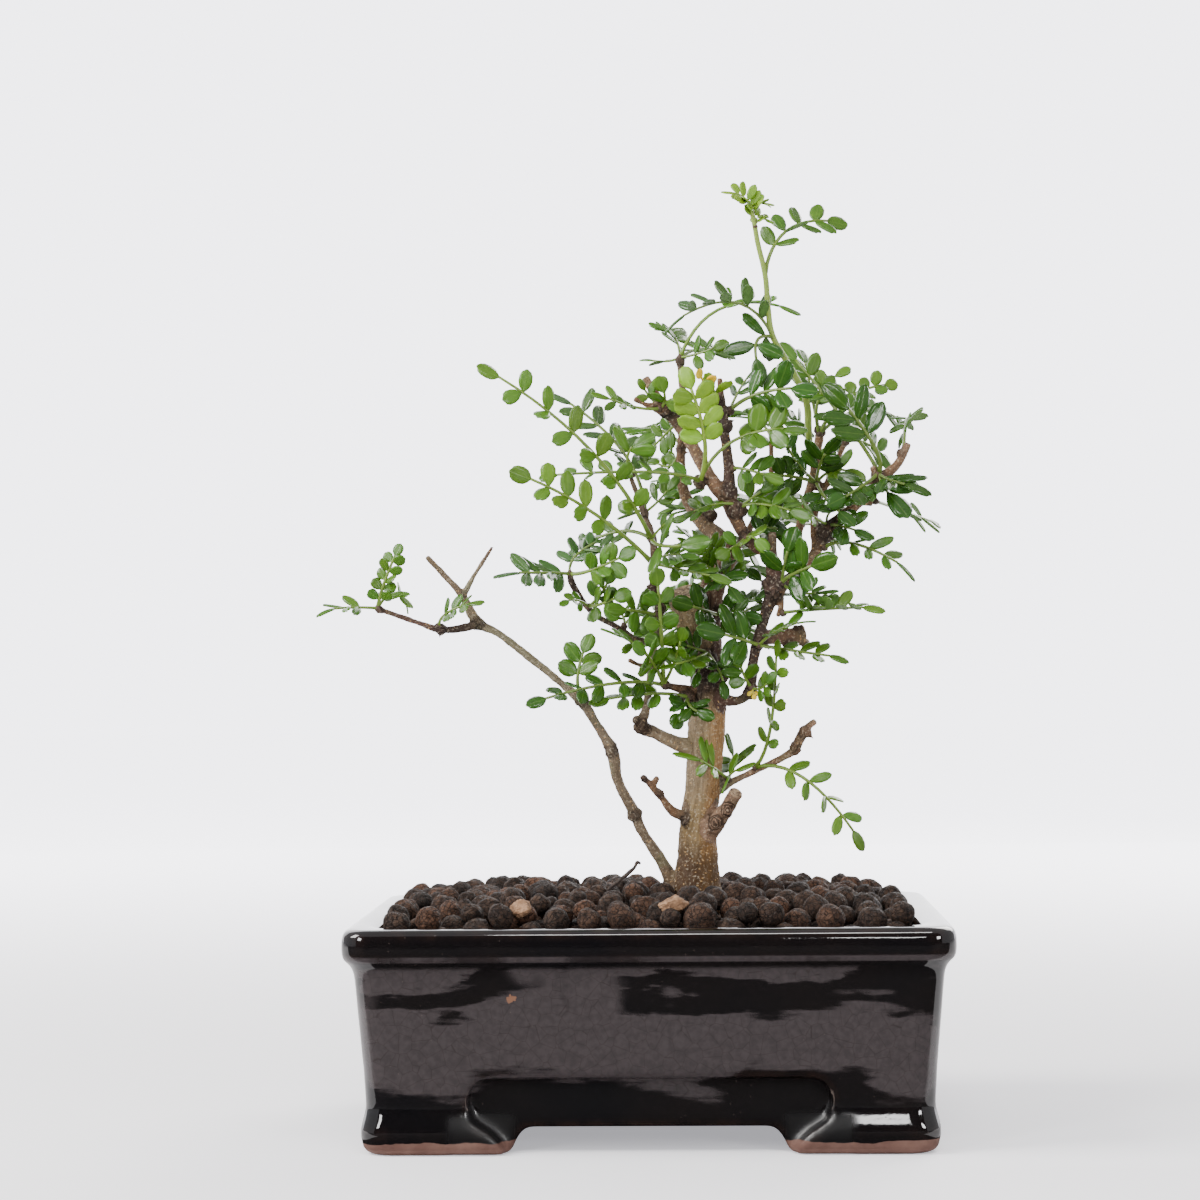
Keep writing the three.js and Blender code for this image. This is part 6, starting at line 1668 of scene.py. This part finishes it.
def grow_leaf(spray, bud, leaf):
    """Adds one leaf: its stalk, its pairs of leaflets and the leaflet at its end."""
    tone, via, tip, pairs, length, width, turn, fold, bare = leaf
    turn, fold = math.radians(turn), math.radians(fold)
    rib = leaf_rib(bud, via, tip)
    whole = rib[1][-1] / MM
    length = min(length, 0.62 * whole)
    green = TONES[tone]
    end_share = max(1 - 0.9 * length / whole, 0.3)
    stalk_colour = [0.5 * c + 0.5 * d for c, d in zip(green, (0.2, 0.26, 0.05))]
    rings = []
    stout = min(0.5 + whole / 70, 1.05) * MM
    for k in range(STALK_RINGS):
        share = k / (STALK_RINGS - 1) * end_share
        centre, along, face, across = rib_frame(rib, share, turn)
        wide = (0.84 - 0.4 * share) * stout * (1.25 if k == 0 else 1)
        thick = (0.6 - 0.25 * share) * stout * (1.25 if k == 0 else 1)
        rings.append([centre + across * wide * math.cos(a) + face * thick * math.sin(a)
                      for a in (j * math.pi / 3 for j in range(6))])
    spray.add_tube(rings, stalk_colour, 1)
    first = bare * whole
    neck = end_share * whole
    spacing = (neck - first) / pairs
    width = min(1.12 * width, (1.7 if tone == "y" else 1.25) * spacing) if pairs > 1 else 1.12 * width
    for pair in range(pairs):
        share = (first + spacing * (pair + 0.15)) / whole
        centre, along, face, across = rib_frame(rib, share, turn)
        reach = length * (0.84 + 0.16 * math.sin(math.pi * (pair + 1) / (pairs + 1)))
        for side in (-1, 1):
            lean = math.radians((60 if pairs > 1 else 64) + random.uniform(-9, 9))
            lift = fold + random.uniform(-0.34, 0.4)
            out = across * side * math.cos(lift) + face * math.sin(lift)
            ahead = along * math.cos(lean) + out * math.sin(lean)
            normal = face * math.cos(lift) - across * side * math.sin(lift)
            root = centre + ahead * 0.35 * MM + along * random.uniform(-0.35, 0.35) * MM
            place_leaflet(spray, root, ahead, normal, reach * random.uniform(0.9, 1.06),
                          width * random.uniform(0.9, 1.06), green)
    centre, along, face, _ = rib_frame(rib, end_share, turn)
    end = rib_frame(rib, 1, turn)[0]
    ahead = (end - centre).normalized()
    place_leaflet(spray, centre - ahead * END_OVERLAP * MM, ahead, face,
                  (end - centre).length / MM + END_OVERLAP, width * 1.04, green)


def place_leaflet(spray, root, ahead, normal, length, width, green):
    """Adds one leaflet, rolled a little and with a shade of its own."""
    roll = Matrix.Rotation(random.uniform(-0.5, 0.5), 3, ahead)
    normal = roll @ normal
    normal = (normal - ahead * normal.dot(ahead)).normalized()
    sideways = normal.cross(ahead)
    matrix = Matrix.Identity(4)
    for row in range(3):
        matrix[row][0] = ahead[row] * length * MM
        matrix[row][1] = sideways[row] * width * MM
        matrix[row][2] = normal[row] * length * MM
        matrix[row][3] = root[row]
    shade = random.uniform(0.82, 1.16)
    warm = random.uniform(-0.12, 0.12)
    colour = (green[0] * shade * (1 + warm), green[1] * shade, green[2] * shade * (1 - warm))
    spray.add_copy(random.choice(leaflets), matrix, colour, 0)


def add_bud(spray, bud, size):
    """Adds the brown bud that a spray springs from."""
    centre = on_sight(*bud)
    rings = []
    for k, (height, radius) in enumerate(((-1, 0.4), (-0.7, 0.85), (-0.1, 1), (0.5, 0.75), (0.95, 0.3))):
        rings.append([centre + Vector((math.cos(a) * radius, math.sin(a) * radius, height)) * size * MM
                      * (1 + 0.14 * math.sin(3 * a + k)) for a in (j * math.pi / 4 for j in range(8))])
    spray.add_tube(rings, (0.075, 0.045, 0.028), 2)


def leaf_finish(name, gloss, veins, glow):
    """The waxy green of the leaves, with paler ribs and undersides."""
    finish, nodes, links, shader, here = new_finish(name)
    reader = nodes.new("ShaderNodeAttribute")
    reader.attribute_name = "leaf_colour"
    blade_green = reader.outputs["Color"]
    vein_reader = nodes.new("ShaderNodeAttribute")
    vein_reader.attribute_name = "vein_place"
    split = nodes.new("ShaderNodeSeparateXYZ")
    links.new(vein_reader.outputs["Vector"], split.inputs["Vector"])
    off_rib = sum_of(nodes, links, split.outputs["Y"], 0.0, "ABSOLUTE")
    midrib = graded(nodes, links, off_rib, 0.02, 0.05, 1, 0)
    slope = sum_of(nodes, links, off_rib, 0.75, "MULTIPLY")
    slant = sum_of(nodes, links, split.outputs["X"], slope, "SUBTRACT")
    waves = sum_of(nodes, links, sum_of(nodes, links, slant, 56.0, "MULTIPLY"), 0.0, "SINE")
    side_veins = graded(nodes, links, waves, 0.72, 1.0, 0, 0.25)
    side_veins = sum_of(nodes, links, side_veins, graded(nodes, links, off_rib, 0.3, 0.45, 1, 0), "MULTIPLY")
    blade = point_value(nodes, "stalk")
    on_blade = graded(nodes, links, blade, 0.2, 0.6, 1, 0)
    ribs = sum_of(nodes, links, sum_of(nodes, links, midrib, side_veins, "MAXIMUM"), on_blade, "MULTIPLY")
    mottle = graded(nodes, links, cloud(nodes, links, here, 420, 5), 0.35, 0.7, 0, 0.4)
    darker_green = blend(nodes, links, 1.0, blade_green, (0.5, 0.62, 0.45), "MULTIPLY")
    colour = blend(nodes, links, mottle, blade_green, darker_green)
    colour = blend(nodes, links, sum_of(nodes, links, ribs, veins, "MULTIPLY"), colour, (0.22, 0.36, 0.06))
    underside = point_value(nodes, "underside")
    pale_side = sum_of(nodes, links, underside, 0.55, "MULTIPLY")
    colour = blend(nodes, links, pale_side, colour, (0.11, 0.22, 0.045))
    links.new(colour, shader.inputs["Base Color"])
    depth_of_green = nodes.new("ShaderNodeSeparateColor")
    links.new(blade_green, depth_of_green.inputs["Color"])
    upper_side = graded(nodes, links, depth_of_green.outputs["Green"], 0.06, 0.15, gloss - 0.1, gloss + 0.06)
    bright_side = sum_of(nodes, links, upper_side, sum_of(nodes, links, underside, 0.25, "MULTIPLY"))
    bud_mask = graded(nodes, links, blade, 1.2, 1.8)
    links.new(sum_of(nodes, links, bright_side, sum_of(nodes, links, bud_mask, 0.5, "MULTIPLY")),
              shader.inputs["Roughness"])
    pucker = cloud(nodes, links, here, 300, 2)
    sunk_rib = sum_of(nodes, links, midrib, 0.2, "MULTIPLY")
    pucker = sum_of(nodes, links, pucker, sunk_rib, "SUBTRACT")
    links.new(relief(nodes, links, pucker, 0.35, 0.3 * MM), shader.inputs["Normal"])
    shader.inputs["Specular IOR Level"].default_value = 0.42
    shader.inputs["Subsurface Weight"].default_value = glow
    shader.inputs["Subsurface Radius"].default_value = (0.6, 1.0, 0.25)
    shader.inputs["Subsurface Scale"].default_value = 0.5 * MM
    return finish


leathery_leaf = leaf_finish("leathery_leaf", 0.28, 0.11, 0.06)
random.seed(5)
for name, (bud, leaves) in SPRAYS.items():
    spray = Spray(name + "_leaves")
    for leaf in leaves:
        grow_leaf(spray, bud, leaf)
    add_bud(spray, bud, 1.25)
    piece = spray.finished(leathery_leaf)
    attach(piece, "root")
    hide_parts("spray_" + name)

# The lead shoot: this year's soft green growth, which has not yet turned to wood. Its young leaves at the
# top are still folded and yellow-green.
tender_leaf = leaf_finish("tender_leaf", 0.34, 0.14, 0.1)
lead = Spray("lead_shoot_growth")
places = [on_sight(*p) for p in LEAD_SHOOT]
stem = bent_stick("lead_stem", places, [1.35 - 0.055 * k for k in range(len(places))], 5, 2)
for attribute, kind in (("leaf_colour", "FLOAT_COLOR"), ("stalk", "FLOAT"), ("underside", "FLOAT"),
                        ("vein_place", "FLOAT_VECTOR")):
    stem.data.attributes.new(attribute, kind, "POINT")
lead.add_copy(stem, Matrix.Identity(4), (0.2, 0.28, 0.045), 1)
bpy.data.objects.remove(stem, do_unlink=True)
for bud, leaf in LEAD_SHOOT_LEAVES:
    grow_leaf(lead, bud, leaf)
    add_bud(lead, bud, 0.9)
shoot = lead.finished(tender_leaf)
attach(shoot, "root")
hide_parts("lead_shoot")
for spare in leaflets:
    bpy.data.objects.remove(spare, do_unlink=True)
